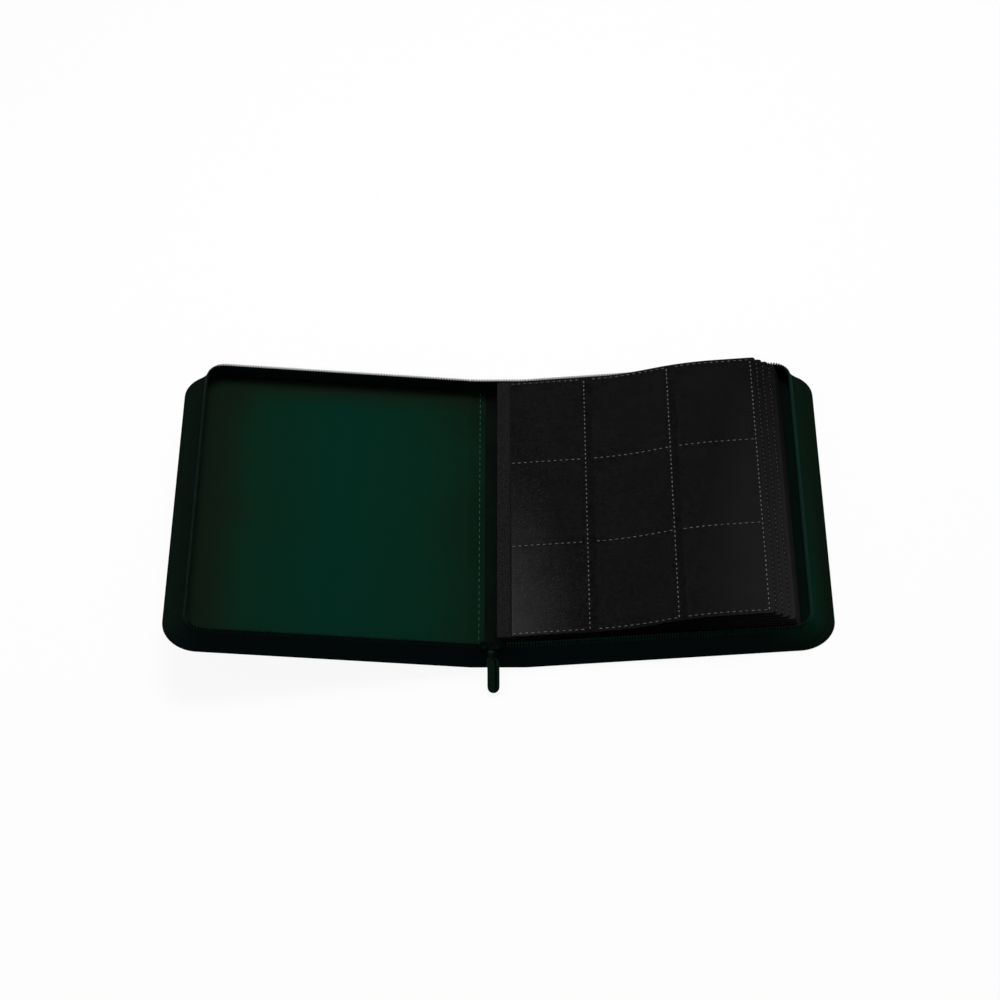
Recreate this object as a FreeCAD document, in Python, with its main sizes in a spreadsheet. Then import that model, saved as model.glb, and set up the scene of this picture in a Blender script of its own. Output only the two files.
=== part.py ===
import FreeCAD, Part
import math
import os

# A zip-up pocket album lying open: two shallow trays with soft walls, a spine between them, and a block
# of pocket leaves bound on stepped strips. Lengths are in mm and angles in degrees.
# X runs from the spine's middle to the back cover's fore edge, Y towards the head and Z up.

Vector = FreeCAD.Vector
doc = FreeCAD.newDocument("PocketAlbum")

SIZES = [
    ("cover_corner", 30.0, "corner radius of the covers"),
    ("skin_t", 0.9, "outer leather-look skin"),
    ("board_t", 2.0, "stiff board in a cover"),
    ("padding_t", 1.6, "foam between board and lining"),
    ("lining_t", 0.6, "satin lining"),
    ("groove", 4.0, "hinge axis to the first layer of a cover"),
    ("fold_clear", 0.03, "air between two skins folded square"),
    ("plate_gap", 0.4, "cover layers to the inside of the wall"),
    ("wall_h", 19.6, "height of the soft wall"),
    ("wall_t", 1.8, "thickness of the soft wall in plan"),
    ("wall_mid", 0.62, "share of its lean that the wall has at half its height"),
    ("lean_fore", 18.75, "how far the fore-edge wall leans inward"),
    ("lean_end", 7.0, "how far the head and foot walls lean inward"),
    ("rim_corner", 16.5, "corner radius at the rim"),
    ("tape_h", 1.8, "zip tape that shows above the wall"),
    ("tape_t", 1.0, "thickness of the zip tape"),
    ("teeth_h", 0.8, "height of a zip tooth"),
    ("teeth_t", 1.8, "a zip tooth across the tape"),
    ("tooth_w", 1.5, "a zip tooth along the tape"),
    ("tooth_pitch", 2.9, "one zip tooth to the next"),
    ("closed_gap", 0.4, "air between the two rows of teeth when shut"),
    ("open_angle", 5.35, "each hinge's bend in the open album"),
    ("spine_board_t", 1.4, "stiff board in the spine"),
    ("spine_board_inset", 5.0, "hinge axis to the edge of the spine board"),
    ("end_inset", 3.0, "spine board and lining to the ends of the skin"),
    ("flap_start", 1.6, "front hinge axis to the lining flap"),
    ("flap_w", 9.8, "width of the sewn lining flap"),
    ("flap_t", 0.5, "thickness of the lining flap"),
    ("web_clear", 0.35, "end web to the ends of the walls"),
    ("web_seat", 0.6, "end web above the spine skin"),
    ("base_t", 1.0, "binding base under the leaf block"),
    ("base_edge", 0.4, "binding base to the edge of the lining"),
    ("leaf_count", 10, "leaves in the block"),
    ("strip_start", 1.1, "spine middle to the top binding strip"),
    ("strip_w", 11.5, "width of a binding strip"),
    ("strip_t", 2.0, "thickness of a binding strip"),
    ("strip_shut", 0.4, "binding strips to the spine's lining when shut"),
    ("fan_count", 3, "steps of the fan at the top of the block"),
    ("fan_step", 5.4, "step between the fanned leaves"),
    ("low_step", 0.7, "step between the leaves below them"),
    ("leaf_gap", 0.3, "binding strip to the edge of its leaf"),
    ("leaf_margin", 3.1, "last column of film to the fore edge of its leaf"),
    ("leaf_fore_gap", 3.55, "leaves to the fore-edge rim when shut"),
    ("leaf_end_gap", 3.7, "leaves to the rim at head and foot"),
    ("leaf_height", 291.0, "head to foot of a leaf"),
    ("leaf_corner", 4.0, "corner radius of a leaf"),
    ("leaf_base_t", 0.6, "black base sheet of a leaf"),
    ("film_t", 0.3, "clear pocket film"),
    ("film_clear", 0.12, "room in a pocket between film and base sheet"),
    ("film_edge", 1.0, "film to the head and foot of its leaf"),
    ("film_root", 0.8, "binding strip to the first film"),
    ("film_first_w", 65.3, "width of the first column of film"),
    ("film_w", 67.5, "width of the other columns of film"),
    ("film_gap", 5.5, "bare base between two columns of film"),
    ("rise_start", 66.5, "binding strip to the start of the leaf's rise"),
    ("rise_run", 114.0, "length of the leaf's rise"),
    ("rise_low", 0.4, "rise of the bottom leaf"),
    ("rise_step", 1.15, "more rise in each leaf above it"),
    ("slider_x", -6.0, "slider's middle from the spine's middle"),
    ("slider_w", 20.0, "width of the slider across its two lobes"),
    ("slider_d", 10.0, "depth of the slider"),
    ("slider_nose_w", 9.0, "flat nose of the slider"),
    ("slider_plate_t", 1.4, "top and bottom plates of the slider"),
    ("slider_post_h", 2.6, "post between the plates"),
    ("slider_post_w", 6.0, "width of the post"),
    ("slider_lift", 0.3, "slider above the foot web"),
    ("slider_over", 2.0, "slider's nose past the edge of the cover"),
    ("bail_wire", 1.6, "width of the bail's wire"),
    ("bail_t", 1.2, "thickness of the bail"),
    ("bail_reach", 3.8, "slider's nose to the front of the bail"),
    ("bail_w", 8.8, "outer width of the bail"),
    ("eye_bore", 2.6, "bore of the pull tab's eye"),
    ("eye_outer", 4.4, "outside of the pull tab's eye"),
    ("eye_w", 4.0, "width of the eye and the neck"),
    ("tab_reach", 33.0, "eye to tip of the pull tab"),
    ("tab_w", 10.0, "width of the pull tab"),
    ("tab_t", 1.8, "thickness of the pull tab"),
    ("neck_length", 8.0, "length of the pull tab's neck"),
    ("tab_tilt", 50.0, "slope of the pull tab at rest"),
]

sheet = doc.addObject("Spreadsheet::Sheet", "sizes")
for row, (name, value, note) in enumerate(SIZES, start=1):
    sheet.set("A%d" % row, note)
    sheet.set("B%d" % row, str(value))
    sheet.setAlias("B%d" % row, name)
doc.recompute()


def size(name):
    return float(getattr(sheet, name))


# Sizes that follow from the sheet. The pockets set the leaf's length, and each cover is made to hold the
# leaves with room at its rim.
film_columns = []
film_start = size("film_root")
film_width = size("film_first_w")
for column in range(3):
    film_columns.append((film_start, film_start + film_width))
    film_start += film_width + size("film_gap")
    film_width = size("film_w")
leaf_length = film_columns[-1][1] + size("leaf_margin")
hinge_z = size("skin_t") / 2
wall_z = size("skin_t")
tape_z = wall_z + size("wall_h")
teeth_z = tape_z + size("tape_h")
rim_z = teeth_z + size("teeth_h")
hinge_x = rim_z - hinge_z + size("closed_gap") / 2
fold = size("skin_t") / 2 + size("fold_clear")
layer_x = hinge_x + size("groove")
board_z = size("skin_t")
padding_z = board_z + size("board_t")
lining_z = padding_z + size("padding_t")
floor_z = lining_z + size("lining_t")
spine_lining_z = board_z + size("spine_board_t")
spine_floor_z = spine_lining_z + size("lining_t")
base_z = floor_z
block_z = base_z + size("base_t")
leaf_count = int(size("leaf_count"))
leaf_half = size("leaf_height") / 2
leaf_t = size("leaf_base_t") + 2 * (size("film_t") + size("film_clear"))
shut_x = hinge_x + spine_floor_z - hinge_z + size("strip_shut")
rim_inside_x = shut_x + size("strip_w") + leaf_length + size("leaf_fore_gap")
fore_x = rim_inside_x + size("wall_t") + size("lean_fore")
half_y = leaf_half + size("leaf_end_gap") + size("wall_t") + size("lean_end")
rest_x = (hinge_x + fold + fore_x) / 2

# The row's origin is the middle of the back cover's rest face, so every body is shifted there. The spine
# is bent up about the back hinge, and the front cover about the front hinge as well.
Y_AXIS = Vector(0, 1, 0)
bend = FreeCAD.Rotation(Y_AXIS, size("open_angle"))
no_turn = FreeCAD.Rotation()
back_place = FreeCAD.Placement(Vector(-rest_x, 0, 0), no_turn)
back_bend = FreeCAD.Placement(Vector(), bend, Vector(hinge_x, 0, hinge_z))
front_bend = FreeCAD.Placement(Vector(), bend, Vector(-hinge_x, 0, hinge_z))
spine_place = back_place.multiply(back_bend)
front_place = spine_place.multiply(front_bend)

nodes = []


def new_body(label, place):
    body = doc.addObject("PartDesign::Body", label)
    body.Label = label
    body.Placement = place
    nodes.append(body)
    return body


def new_sketch(body, name, plane, edges, offset=0.0):
    sketch = body.newObject("Sketcher::SketchObject", body.Label + "_" + name)
    support = [f for f in body.Origin.OriginFeatures if f.Role == plane][0]
    sketch.AttachmentSupport = (support, [""])
    sketch.MapMode = "FlatFace"
    sketch.AttachmentOffset = FreeCAD.Placement(Vector(0, 0, offset), no_turn)
    sketch.addGeometry(edges, False)
    return sketch


def new_pad(body, name, sketch, length, symmetric=False):
    pad = body.newObject("PartDesign::Pad", body.Label + "_" + name)
    pad.Profile = sketch
    pad.SideType = "Symmetric" if symmetric else "One side"
    pad.setExpression("Length", length)
    sketch.Visibility = False
    body.Tip = pad
    return pad


def line(a, b):
    return Part.LineSegment(Vector(a[0], a[1], 0), Vector(b[0], b[1], 0))


def arc(a, mid, b):
    return Part.Arc(Vector(a[0], a[1], 0), Vector(mid[0], mid[1], 0), Vector(b[0], b[1], 0))


def polygon(points):
    return [line(points[i], points[(i + 1) % len(points)]) for i in range(len(points))]


def rectangle(x0, x1, y0, y1):
    return polygon([(x0, y0), (x1, y0), (x1, y1), (x0, y1)])


def fore_path(side, x0, x1, y, r):
    """Head, fore edge and foot of a cover as lines and arcs, from the hinge round to the hinge."""
    k = r * (1 - math.sqrt(0.5))
    points = [(x0, y), (x1 - r, y), (x1 - k, y - k), (x1, y - r), (x1, r - y), (x1 - k, k - y)]
    points += [(x1 - r, -y), (x0, -y)]
    p = [(side * px, py) for px, py in points]
    edges = [line(p[0], p[1]), arc(p[1], p[2], p[3]), line(p[3], p[4])]
    edges += [arc(p[4], p[5], p[6]), line(p[6], p[7])]
    return edges, p[0], p[7]


def back_path(side, x0, x1, y, r):
    """The same path from foot to head."""
    k = r * (1 - math.sqrt(0.5))
    points = [(x0, -y), (x1 - r, -y), (x1 - k, k - y), (x1, r - y), (x1, y - r), (x1 - k, y - k)]
    points += [(x1 - r, y), (x0, y)]
    p = [(side * px, py) for px, py in points]
    edges = [line(p[0], p[1]), arc(p[1], p[2], p[3]), line(p[3], p[4])]
    edges += [arc(p[4], p[5], p[6]), line(p[6], p[7])]
    return edges, p[0], p[7]


def plate_outline(side, x0, x1, y, r):
    edges, head, foot = fore_path(side, x0, x1, y, r)
    return edges + [line(foot, head)]


def band_outline(side, x0, x1, y, r, t, inset=0.0):
    """A U-shaped band of thickness t, its outside set in from the path by inset."""
    outer, head, foot = fore_path(side, x0, x1 - inset, y - inset, r - inset)
    depth = inset + t
    inner, foot_in, head_in = back_path(side, x0, x1 - depth, y - depth, r - depth)
    return outer + [line(foot, foot_in)] + inner + [line(head_in, head)]


def wall_sections():
    """Height, fore-edge lean, end lean and corner radius up the wall's slightly hollow section."""
    count = 4
    hollow = 4 * (size("wall_mid") - 0.5)
    sections = []
    for i in range(count):
        height = i / (count - 1)
        share = height + hollow * height * (1 - height)
        z = wall_z + size("wall_h") * height
        radius = size("cover_corner") + share * (size("rim_corner") - size("cover_corner"))
        sections.append((z, share * size("lean_fore"), share * size("lean_end"), radius))
    return sections


def wall_at(z):
    """Fore-edge lean, end lean and corner radius of the wall at height z."""
    sections = wall_sections()
    for low, high in zip(sections, sections[1:]):
        if z <= high[0]:
            break
    share = (z - low[0]) / (high[0] - low[0])
    return [a + share * (b - a) for a, b in zip(low[1:], high[1:])]


def rim_teeth(side):
    """Outlines of the zip teeth, evenly spaced along the middle of the rim."""
    middle = size("wall_t") / 2
    x = fore_x - size("lean_fore") - middle
    y = half_y - size("lean_end") - middle
    r = size("rim_corner") - middle
    quarter = r * math.pi / 2
    runs = [x - r - layer_x, quarter, 2 * (y - r), quarter, x - r - layer_x]
    starts = [(layer_x, y), None, (x, y - r), None, (x - r, -y)]
    centres = [None, (x - r, y - r), None, (x - r, r - y), None]
    count = int((sum(runs) - size("tooth_w")) / size("tooth_pitch")) + 1
    first = (sum(runs) - (count - 1) * size("tooth_pitch")) / 2
    edges = []
    for i in range(count):
        s = first + i * size("tooth_pitch")
        run = 0
        while s > runs[run]:
            s -= runs[run]
            run += 1
        heading = [0, s / r, math.pi / 2, math.pi / 2 + s / r, math.pi][run]
        ahead = (math.cos(heading), -math.sin(heading))
        across = (math.sin(heading), math.cos(heading))
        if centres[run]:
            at = [c + r * a for c, a in zip(centres[run], across)]
        else:
            at = [c + s * a for c, a in zip(starts[run], ahead)]
        a = size("tooth_w") / 2
        b = size("teeth_t") / 2
        corners = []
        for u, v in ((-a, -b), (a, -b), (a, b), (-a, b)):
            corners.append((side * (at[0] + u * ahead[0] + v * across[0]), at[1] + u * ahead[1] + v * across[1]))
        edges += polygon(corners)
    return edges


def new_loft(body, sketches):
    loft = body.newObject("PartDesign::AdditiveLoft", body.Label + "_loft")
    loft.Profile = sketches[0]
    loft.Sections = sketches[1:]
    loft.Ruled = True
    for sketch in sketches:
        sketch.Visibility = False
    body.Tip = loft
    return loft


def make_tray(name, side, place):
    """One cover with its layers, soft wall, zip tape and teeth."""
    skin = new_body(name + "_skin", place)
    outline = plate_outline(side, hinge_x + fold, fore_x, half_y, size("cover_corner"))
    new_pad(skin, "pad", new_sketch(skin, "outline", "XY_Plane", outline), "sizes.skin_t")

    fore, end, radius = wall_at(floor_z)
    inset = size("wall_t") + size("plate_gap")
    layer = (side, layer_x, fore_x - fore - inset, half_y - end - inset, radius - inset)
    for part, z, length in (
        ("board", board_z, "sizes.board_t"),
        ("padding", padding_z, "sizes.padding_t"),
        ("lining", lining_z, "sizes.lining_t"),
    ):
        body = new_body(name + "_" + part, place)
        sketch = new_sketch(body, "outline", "XY_Plane", plate_outline(*layer), z)
        new_pad(body, "pad", sketch, length)

    gusset = new_body(name + "_gusset", place)
    sketches = []
    for i, (z, fore, end, radius) in enumerate(wall_sections()):
        edges = band_outline(side, layer_x, fore_x - fore, half_y - end, radius, size("wall_t"))
        sketches.append(new_sketch(gusset, "section%d" % i, "XY_Plane", edges, z))
    new_loft(gusset, sketches)

    rim = (side, layer_x, fore_x - size("lean_fore"), half_y - size("lean_end"), size("rim_corner"))
    tape = new_body(name + "_zip_tape", place)
    inset = (size("wall_t") - size("tape_t")) / 2
    edges = band_outline(*rim, size("tape_t"), inset)
    new_pad(tape, "pad", new_sketch(tape, "outline", "XY_Plane", edges, tape_z), "sizes.tape_h")
    teeth = new_body(name + "_zip_teeth", place)
    new_pad(teeth, "pad", new_sketch(teeth, "outlines", "XY_Plane", rim_teeth(side), teeth_z), "sizes.teeth_h")


make_tray("back", 1, back_place)
make_tray("front", -1, front_place)

# Spine: skin, board and lining, with the front cover's lining sewn down over its edge
spine_skin = new_body("spine_skin", spine_place)
edges = rectangle(fold - hinge_x, hinge_x - fold, -half_y, half_y)
new_pad(spine_skin, "pad", new_sketch(spine_skin, "outline", "XY_Plane", edges), "sizes.skin_t")

board_half = hinge_x - size("spine_board_inset")
layer_y = half_y - size("end_inset")
spine_board = new_body("spine_board", spine_place)
edges = rectangle(-board_half, board_half, -layer_y, layer_y)
new_pad(spine_board, "pad", new_sketch(spine_board, "outline", "XY_Plane", edges, board_z), "sizes.spine_board_t")

lining_half = hinge_x - size("flap_start")
spine_lining = new_body("spine_lining", spine_place)
edges = rectangle(-lining_half, lining_half, -layer_y, layer_y)
sketch = new_sketch(spine_lining, "outline", "XY_Plane", edges, spine_lining_z)
new_pad(spine_lining, "pad", sketch, "sizes.lining_t")

lining_flap = new_body("lining_flap", spine_place)
flap_x = size("flap_start") - hinge_x
edges = rectangle(flap_x, flap_x + size("flap_w"), -layer_y, layer_y)
sketch = new_sketch(lining_flap, "outline", "XY_Plane", edges, spine_floor_z)
new_pad(lining_flap, "pad", sketch, "sizes.flap_t")

# End webs: the soft wall carried across the head and foot of the spine
bend_share = math.sin(math.radians(size("open_angle")))
for name, side in (("head_web", 1), ("foot_web", -1)):
    web = new_body(name, spine_place)
    sketches = []
    for i, (z, fore, end, radius) in enumerate(wall_sections()):
        low = z + (size("web_seat") if i == 0 else 0.0)
        reach = layer_x - size("web_clear") - (low - hinge_z) * bend_share
        outer = side * (half_y - end)
        inner = side * (half_y - end - size("wall_t"))
        edges = rectangle(-reach, reach, min(outer, inner), max(outer, inner))
        sketches.append(new_sketch(web, "section%d" % i, "XY_Plane", edges, low))
    new_loft(web, sketches)

# Zip slider at the foot of the spine: two plates on a post, a bail and a hanging pull tab
slider_z = tape_z + size("slider_lift")
nose_y = -half_y - size("slider_over")
tail_y = nose_y + size("slider_d")
post_z = slider_z + size("slider_plate_t")
top_z = post_z + size("slider_post_h")
slider_x = size("slider_x")


def slider_outline():
    """Plan of a slider plate: two round lobes at the tail and a flat nose."""
    lobe = size("slider_w") * 0.15
    side = size("slider_w") / 2
    nose = size("slider_nose_w") / 2
    notch_y = tail_y - lobe * 1.5
    lobe_y = tail_y - lobe
    p = [(-side, lobe_y), (lobe - side, tail_y), (2 * lobe - side, lobe_y), (0, notch_y)]
    p += [(side - 2 * lobe, lobe_y), (side - lobe, tail_y), (side, lobe_y), (nose, nose_y), (-nose, nose_y)]
    p = [(slider_x + x, y) for x, y in p]
    edges = [arc(p[0], p[1], p[2]), line(p[2], p[3]), line(p[3], p[4]), arc(p[4], p[5], p[6])]
    return edges + [line(p[6], p[7]), line(p[7], p[8]), line(p[8], p[0])]


slider = new_body("zip_slider", spine_place)
sketch = new_sketch(slider, "bottom_plate", "XY_Plane", slider_outline(), slider_z)
new_pad(slider, "bottom", sketch, "sizes.slider_plate_t")
post_half = size("slider_post_w") / 2
post_y = tail_y - size("slider_d") / 2
edges = rectangle(slider_x - post_half, slider_x + post_half, nose_y, post_y)
new_pad(slider, "post", new_sketch(slider, "post_plan", "XY_Plane", edges, post_z), "sizes.slider_post_h")
sketch = new_sketch(slider, "top_plate", "XY_Plane", slider_outline(), top_z)
new_pad(slider, "top", sketch, "sizes.slider_plate_t")

bail_z = top_z + (size("slider_plate_t") - size("bail_t")) / 2
bail_y = nose_y - size("bail_reach")
wire = size("bail_wire")
bail_half = size("bail_w") / 2
bail = new_body("slider_bail", spine_place)
points = [(-bail_half, nose_y), (-bail_half, bail_y), (bail_half, bail_y), (bail_half, nose_y)]
points += [(bail_half - wire, nose_y), (bail_half - wire, bail_y + wire)]
points += [(wire - bail_half, bail_y + wire), (wire - bail_half, nose_y)]
points = [(slider_x + x, y) for x, y in points]
new_pad(bail, "pad", new_sketch(bail, "plan", "XY_Plane", polygon(points), bail_z), "sizes.bail_t")

# The tab is drawn flat with its eye at the origin, then tipped down at the bail
eye = Vector(slider_x, bail_y + wire / 2, bail_z + size("bail_t") / 2)
tip = FreeCAD.Placement(eye, FreeCAD.Rotation(Vector(1, 0, 0), size("tab_tilt")))
pull_tab = new_body("pull_tab", spine_place.multiply(tip))
neck = size("eye_w") / 2
tab_half = size("tab_w") / 2
neck_y = -size("eye_bore") / 2 - (size("eye_outer") - size("eye_bore")) / 4
shoulder_y = -size("neck_length")
round_y = tab_half - size("tab_reach")
p = [(-neck, neck_y), (-neck, shoulder_y), (-tab_half, shoulder_y - neck), (-tab_half, round_y)]
p += [(0, -size("tab_reach")), (tab_half, round_y), (tab_half, shoulder_y - neck), (neck, shoulder_y)]
p += [(neck, neck_y)]
edges = [line(p[0], p[1]), line(p[1], p[2]), line(p[2], p[3]), arc(p[3], p[4], p[5])]
edges += [line(p[5], p[6]), line(p[6], p[7]), line(p[7], p[8]), line(p[8], p[0])]
new_pad(pull_tab, "blade", new_sketch(pull_tab, "plan", "XY_Plane", edges), "sizes.tab_t", True)
ring = Part.Circle(Vector(), Vector(0, 0, 1), size("eye_outer") / 2)
new_pad(pull_tab, "eye", new_sketch(pull_tab, "ring", "YZ_Plane", [ring]), "sizes.eye_w", True)
bore = Part.Circle(Vector(), Vector(0, 0, 1), size("eye_bore") / 2)
hole = pull_tab.newObject("PartDesign::Pocket", "pull_tab_bore")
hole.Profile = new_sketch(pull_tab, "bore_plan", "YZ_Plane", [bore])
hole.SideType = "Symmetric"
hole.setExpression("Length", "2 * sizes.eye_w")
hole.Profile[0].Visibility = False
pull_tab.Tip = hole

# Leaf block: a base on the back lining, a stepped stack of binding strips, and a leaf on each strip
base = new_body("binding_base", back_place)
base_x = layer_x + size("base_edge")
edges = rectangle(base_x, base_x + size("strip_w"), -leaf_half, leaf_half)
new_pad(base, "pad", new_sketch(base, "plan", "XY_Plane", edges, base_z), "sizes.base_t")


def strip_x(k):
    """Left edge of binding strip k, counted from 0 at the top."""
    fanned = min(k, int(size("fan_count")))
    return size("strip_start") + fanned * size("fan_step") + (k - fanned) * size("low_step")


def strip_top(k):
    return block_z + (leaf_count - k) * size("strip_t")


def leaf_curve(rise):
    """The leaf's side view: level, up through two arcs, level. Returns the breaks and a point finder."""
    start = size("rise_start")
    half_run = size("rise_run") / 2
    turn = 2 * math.atan2(rise / 2, half_run)
    radius = half_run / math.sin(turn)
    breaks = [0.0, start, start + half_run, start + 2 * half_run, leaf_length]

    def point(s, depth):
        """Where the leaf is s along, at a depth under its top face."""
        if s <= start:
            return s, -depth
        if s >= start + 2 * half_run:
            return s, rise - depth
        if s <= start + half_run:
            angle = math.asin((s - start) / radius)
            reach = radius + depth
            return start + reach * math.sin(angle), radius - reach * math.cos(angle)
        angle = math.asin((start + 2 * half_run - s) / radius)
        reach = radius - depth
        return start + 2 * half_run - reach * math.sin(angle), rise - radius + reach * math.cos(angle)

    return breaks, point


def layer_profile(rise, s0, s1, top, bottom, origin):
    """Closed side view of one layer of a leaf between s0 and s1, from depth top to depth bottom."""
    breaks, point = leaf_curve(rise)
    stops = [s0] + [b for b in breaks if s0 < b < s1] + [s1]

    def at(s, depth):
        x, z = point(s, depth)
        return origin[0] + x, origin[1] + z

    def run(depth, pairs):
        edges = []
        for a, b in pairs:
            middle = (a + b) / 2
            flat = middle < breaks[1] or middle > breaks[3]
            if flat:
                edges.append(line(at(a, depth), at(b, depth)))
            else:
                edges.append(arc(at(a, depth), at(middle, depth), at(b, depth)))
        return edges

    forward = list(zip(stops, stops[1:]))
    backward = [(b, a) for a, b in reversed(forward)]
    edges = run(top, forward) + [line(at(s1, top), at(s1, bottom))]
    return edges + run(bottom, backward) + [line(at(s0, bottom), at(s0, top))]


def corner_edges(shape, x):
    """Names of a sheet's upright edges at its fore-edge corners."""
    names = []
    for i, edge in enumerate(shape.Edges, start=1):
        box = edge.BoundBox
        upright = box.XLength < 1e-6 and box.YLength < 1e-6
        if upright and abs(box.XMax - x) < 1e-3:
            names.append("Edge%d" % i)
    return names


for k in range(leaf_count):
    number = "%02d" % (k + 1)
    left = strip_x(k)
    top = strip_top(k)
    rise = size("rise_low") + (leaf_count - 1 - k) * size("rise_step")
    origin = (left + size("strip_w"), top)

    strip = new_body("binding_strip_" + number, back_place)
    edges = rectangle(left, left + size("strip_w"), -leaf_half, leaf_half)
    sketch = new_sketch(strip, "plan", "XY_Plane", edges, top - size("strip_t"))
    new_pad(strip, "pad", sketch, "sizes.strip_t")

    leaf = new_body("leaf_" + number, back_place)
    base_top = size("film_t") + size("film_clear")
    base_bottom = base_top + size("leaf_base_t")
    edges = layer_profile(rise, size("leaf_gap"), leaf_length, base_top, base_bottom, origin)
    sketch = new_sketch(leaf, "profile", "XZ_Plane", edges)
    pad = new_pad(leaf, "pad", sketch, "sizes.leaf_height", True)
    doc.recompute()
    fillet = leaf.newObject("PartDesign::Fillet", "leaf_%s_corners" % number)
    fillet.Base = (pad, corner_edges(pad.Shape, origin[0] + leaf_length))
    fillet.setExpression("Radius", "sizes.leaf_corner")
    leaf.Tip = fillet

    film = new_body("leaf_%s_film" % number, back_place)
    edges = []
    for s0, s1 in film_columns:
        edges += layer_profile(rise, s0, s1, 0.0, size("film_t"), origin)
        edges += layer_profile(rise, s0, s1, leaf_t - size("film_t"), leaf_t, origin)
    sketch = new_sketch(film, "profile", "XZ_Plane", edges)
    new_pad(film, "pad", sketch, "sizes.leaf_height - 2 * sizes.film_edge", True)

doc.recompute()

for item in doc.Objects:
    if "Invalid" in item.State or "Error" in item.State:
        raise RuntimeError("%s did not build: %s" % (item.Label, item.State))

os.makedirs("parts", exist_ok=True)
for body in nodes:
    if not body.Shape.isValid() or not body.Shape.Solids:
        raise RuntimeError("%s is not a valid solid" % body.Label)
    body.Shape.exportStep("parts/%s.step" % body.Label)

print("nodes", len(nodes), "hinge_x %.3f rest_x %.3f rim_z %.3f" % (hinge_x, rest_x, rim_z))
print("films at", [(round(a, 2), round(b, 2)) for a, b in film_columns])
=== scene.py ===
# %% [markdown]
# # A zip-up pocket album, lying open
# The solids give the album its boards, strips, leaves and zip, each in its place. This lesson puts
# the soft goods on them: leather-look covers, a satin lining, woven binding, pocket leaves and thread.
# Everything is in metres and in the frame of the solids, so a piece goes where its solid is.

# %% Load the frame
import math
import bpy
import numpy as np
from mathutils import Matrix, Vector


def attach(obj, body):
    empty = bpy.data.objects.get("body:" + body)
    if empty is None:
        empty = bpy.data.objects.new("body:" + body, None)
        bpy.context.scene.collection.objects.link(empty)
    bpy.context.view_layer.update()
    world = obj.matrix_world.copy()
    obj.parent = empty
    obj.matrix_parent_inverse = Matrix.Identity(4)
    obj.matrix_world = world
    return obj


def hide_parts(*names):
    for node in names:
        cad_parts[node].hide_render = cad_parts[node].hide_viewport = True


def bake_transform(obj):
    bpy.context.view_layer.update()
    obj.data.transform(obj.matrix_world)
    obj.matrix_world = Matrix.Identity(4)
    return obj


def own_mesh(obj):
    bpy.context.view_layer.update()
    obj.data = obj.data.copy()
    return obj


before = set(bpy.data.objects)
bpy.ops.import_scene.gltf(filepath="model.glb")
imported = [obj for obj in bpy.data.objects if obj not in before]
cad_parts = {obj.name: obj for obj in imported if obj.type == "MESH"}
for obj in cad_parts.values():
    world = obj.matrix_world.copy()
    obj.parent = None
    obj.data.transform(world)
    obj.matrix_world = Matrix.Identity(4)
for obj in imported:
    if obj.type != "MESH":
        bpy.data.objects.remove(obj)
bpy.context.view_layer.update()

# %% [markdown]
# ## Camera, floor and light
# The album was photographed from in front and above with a long lens. The place of the camera was
# worked out once from the grid of pockets, which are the size of cards, so it is written as numbers.
# A target constraint would also aim it, but it could not give the small roll that the photo has.

# %% Camera
CAMERA_PLACE = (0.032868, -1.689331, 1.877614)
VIEW_AXES = ((0.99536774, 0.00019379, -0.09614067),
             (0.06461503, 0.73912213, 0.67046504),
             (0.07118963, -0.67357141, 0.7356858))
LENS = 106.78
scene = bpy.context.scene
scene.view_settings.view_transform = "Standard"
bpy.ops.object.select_all(action="DESELECT")
aim = Matrix(VIEW_AXES).transposed()
bpy.ops.object.camera_add(location=CAMERA_PLACE, rotation=aim.to_euler())
camera = bpy.context.object
camera.data.lens = LENS
camera.data.sensor_width = 36.0
scene.camera = camera
print("camera at", [round(x, 3) for x in camera.location])

# %% [markdown]
# The photo was taken on plain white. A white world would light a dark album from everywhere, so the
# world is white only to the eye and to gloss, and a softer grey to matt surfaces. The floor does the
# same, and keeps part of its own shading so that the album's shadow stays on it.

# %% Helpers for node trees
def node(tree, kind, **values):
    """Adds a node; a value goes to the socket of that name, or else to the node's own setting."""
    made = tree.nodes.new(kind)
    for key, value in values.items():
        name = key.replace("_", " ")
        sockets = {s.name.lower(): s for s in made.inputs}
        if name in sockets and not hasattr(made, key):
            sockets[name].default_value = value
        else:
            setattr(made, key, value)
    return made


def wire(tree, *pairs):
    """Links each output to the input beside it."""
    for out, into in pairs:
        tree.links.new(out, into)


def seen_directly(tree):
    """One for rays of the eye, of gloss and of clear film, and nought for the rest."""
    rays = node(tree, "ShaderNodeLightPath").outputs
    first = node(tree, "ShaderNodeMath", operation="MAXIMUM")
    both = node(tree, "ShaderNodeMath", operation="MAXIMUM")
    wire(tree, (rays["Is Camera Ray"], first.inputs[0]), (rays["Is Glossy Ray"], first.inputs[1]),
         (first.outputs[0], both.inputs[0]), (rays["Is Transmission Ray"], both.inputs[1]))
    return both.outputs[0]


print("node helpers ready")

# %% White surroundings
WHITE = (1.0, 1.0, 1.0, 1.0)
SOFT_LIGHT = 0.28
world = bpy.data.worlds.new("white_surroundings")
world.use_nodes = True
scene.world = world
tree = world.node_tree
soft_sky = tree.nodes["Background"]
white_sky = node(tree, "ShaderNodeBackground")
for sky, strength in ((soft_sky, SOFT_LIGHT), (white_sky, 1.0)):
    sky.inputs["Color"].default_value = WHITE
    sky.inputs["Strength"].default_value = strength
mixed = node(tree, "ShaderNodeMixShader")
wire(tree, (seen_directly(tree), mixed.inputs[0]), (soft_sky.outputs[0], mixed.inputs[1]),
     (white_sky.outputs[0], mixed.inputs[2]), (mixed.outputs[0], tree.nodes["World Output"].inputs[0]))
print("world:", world.name)

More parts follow.
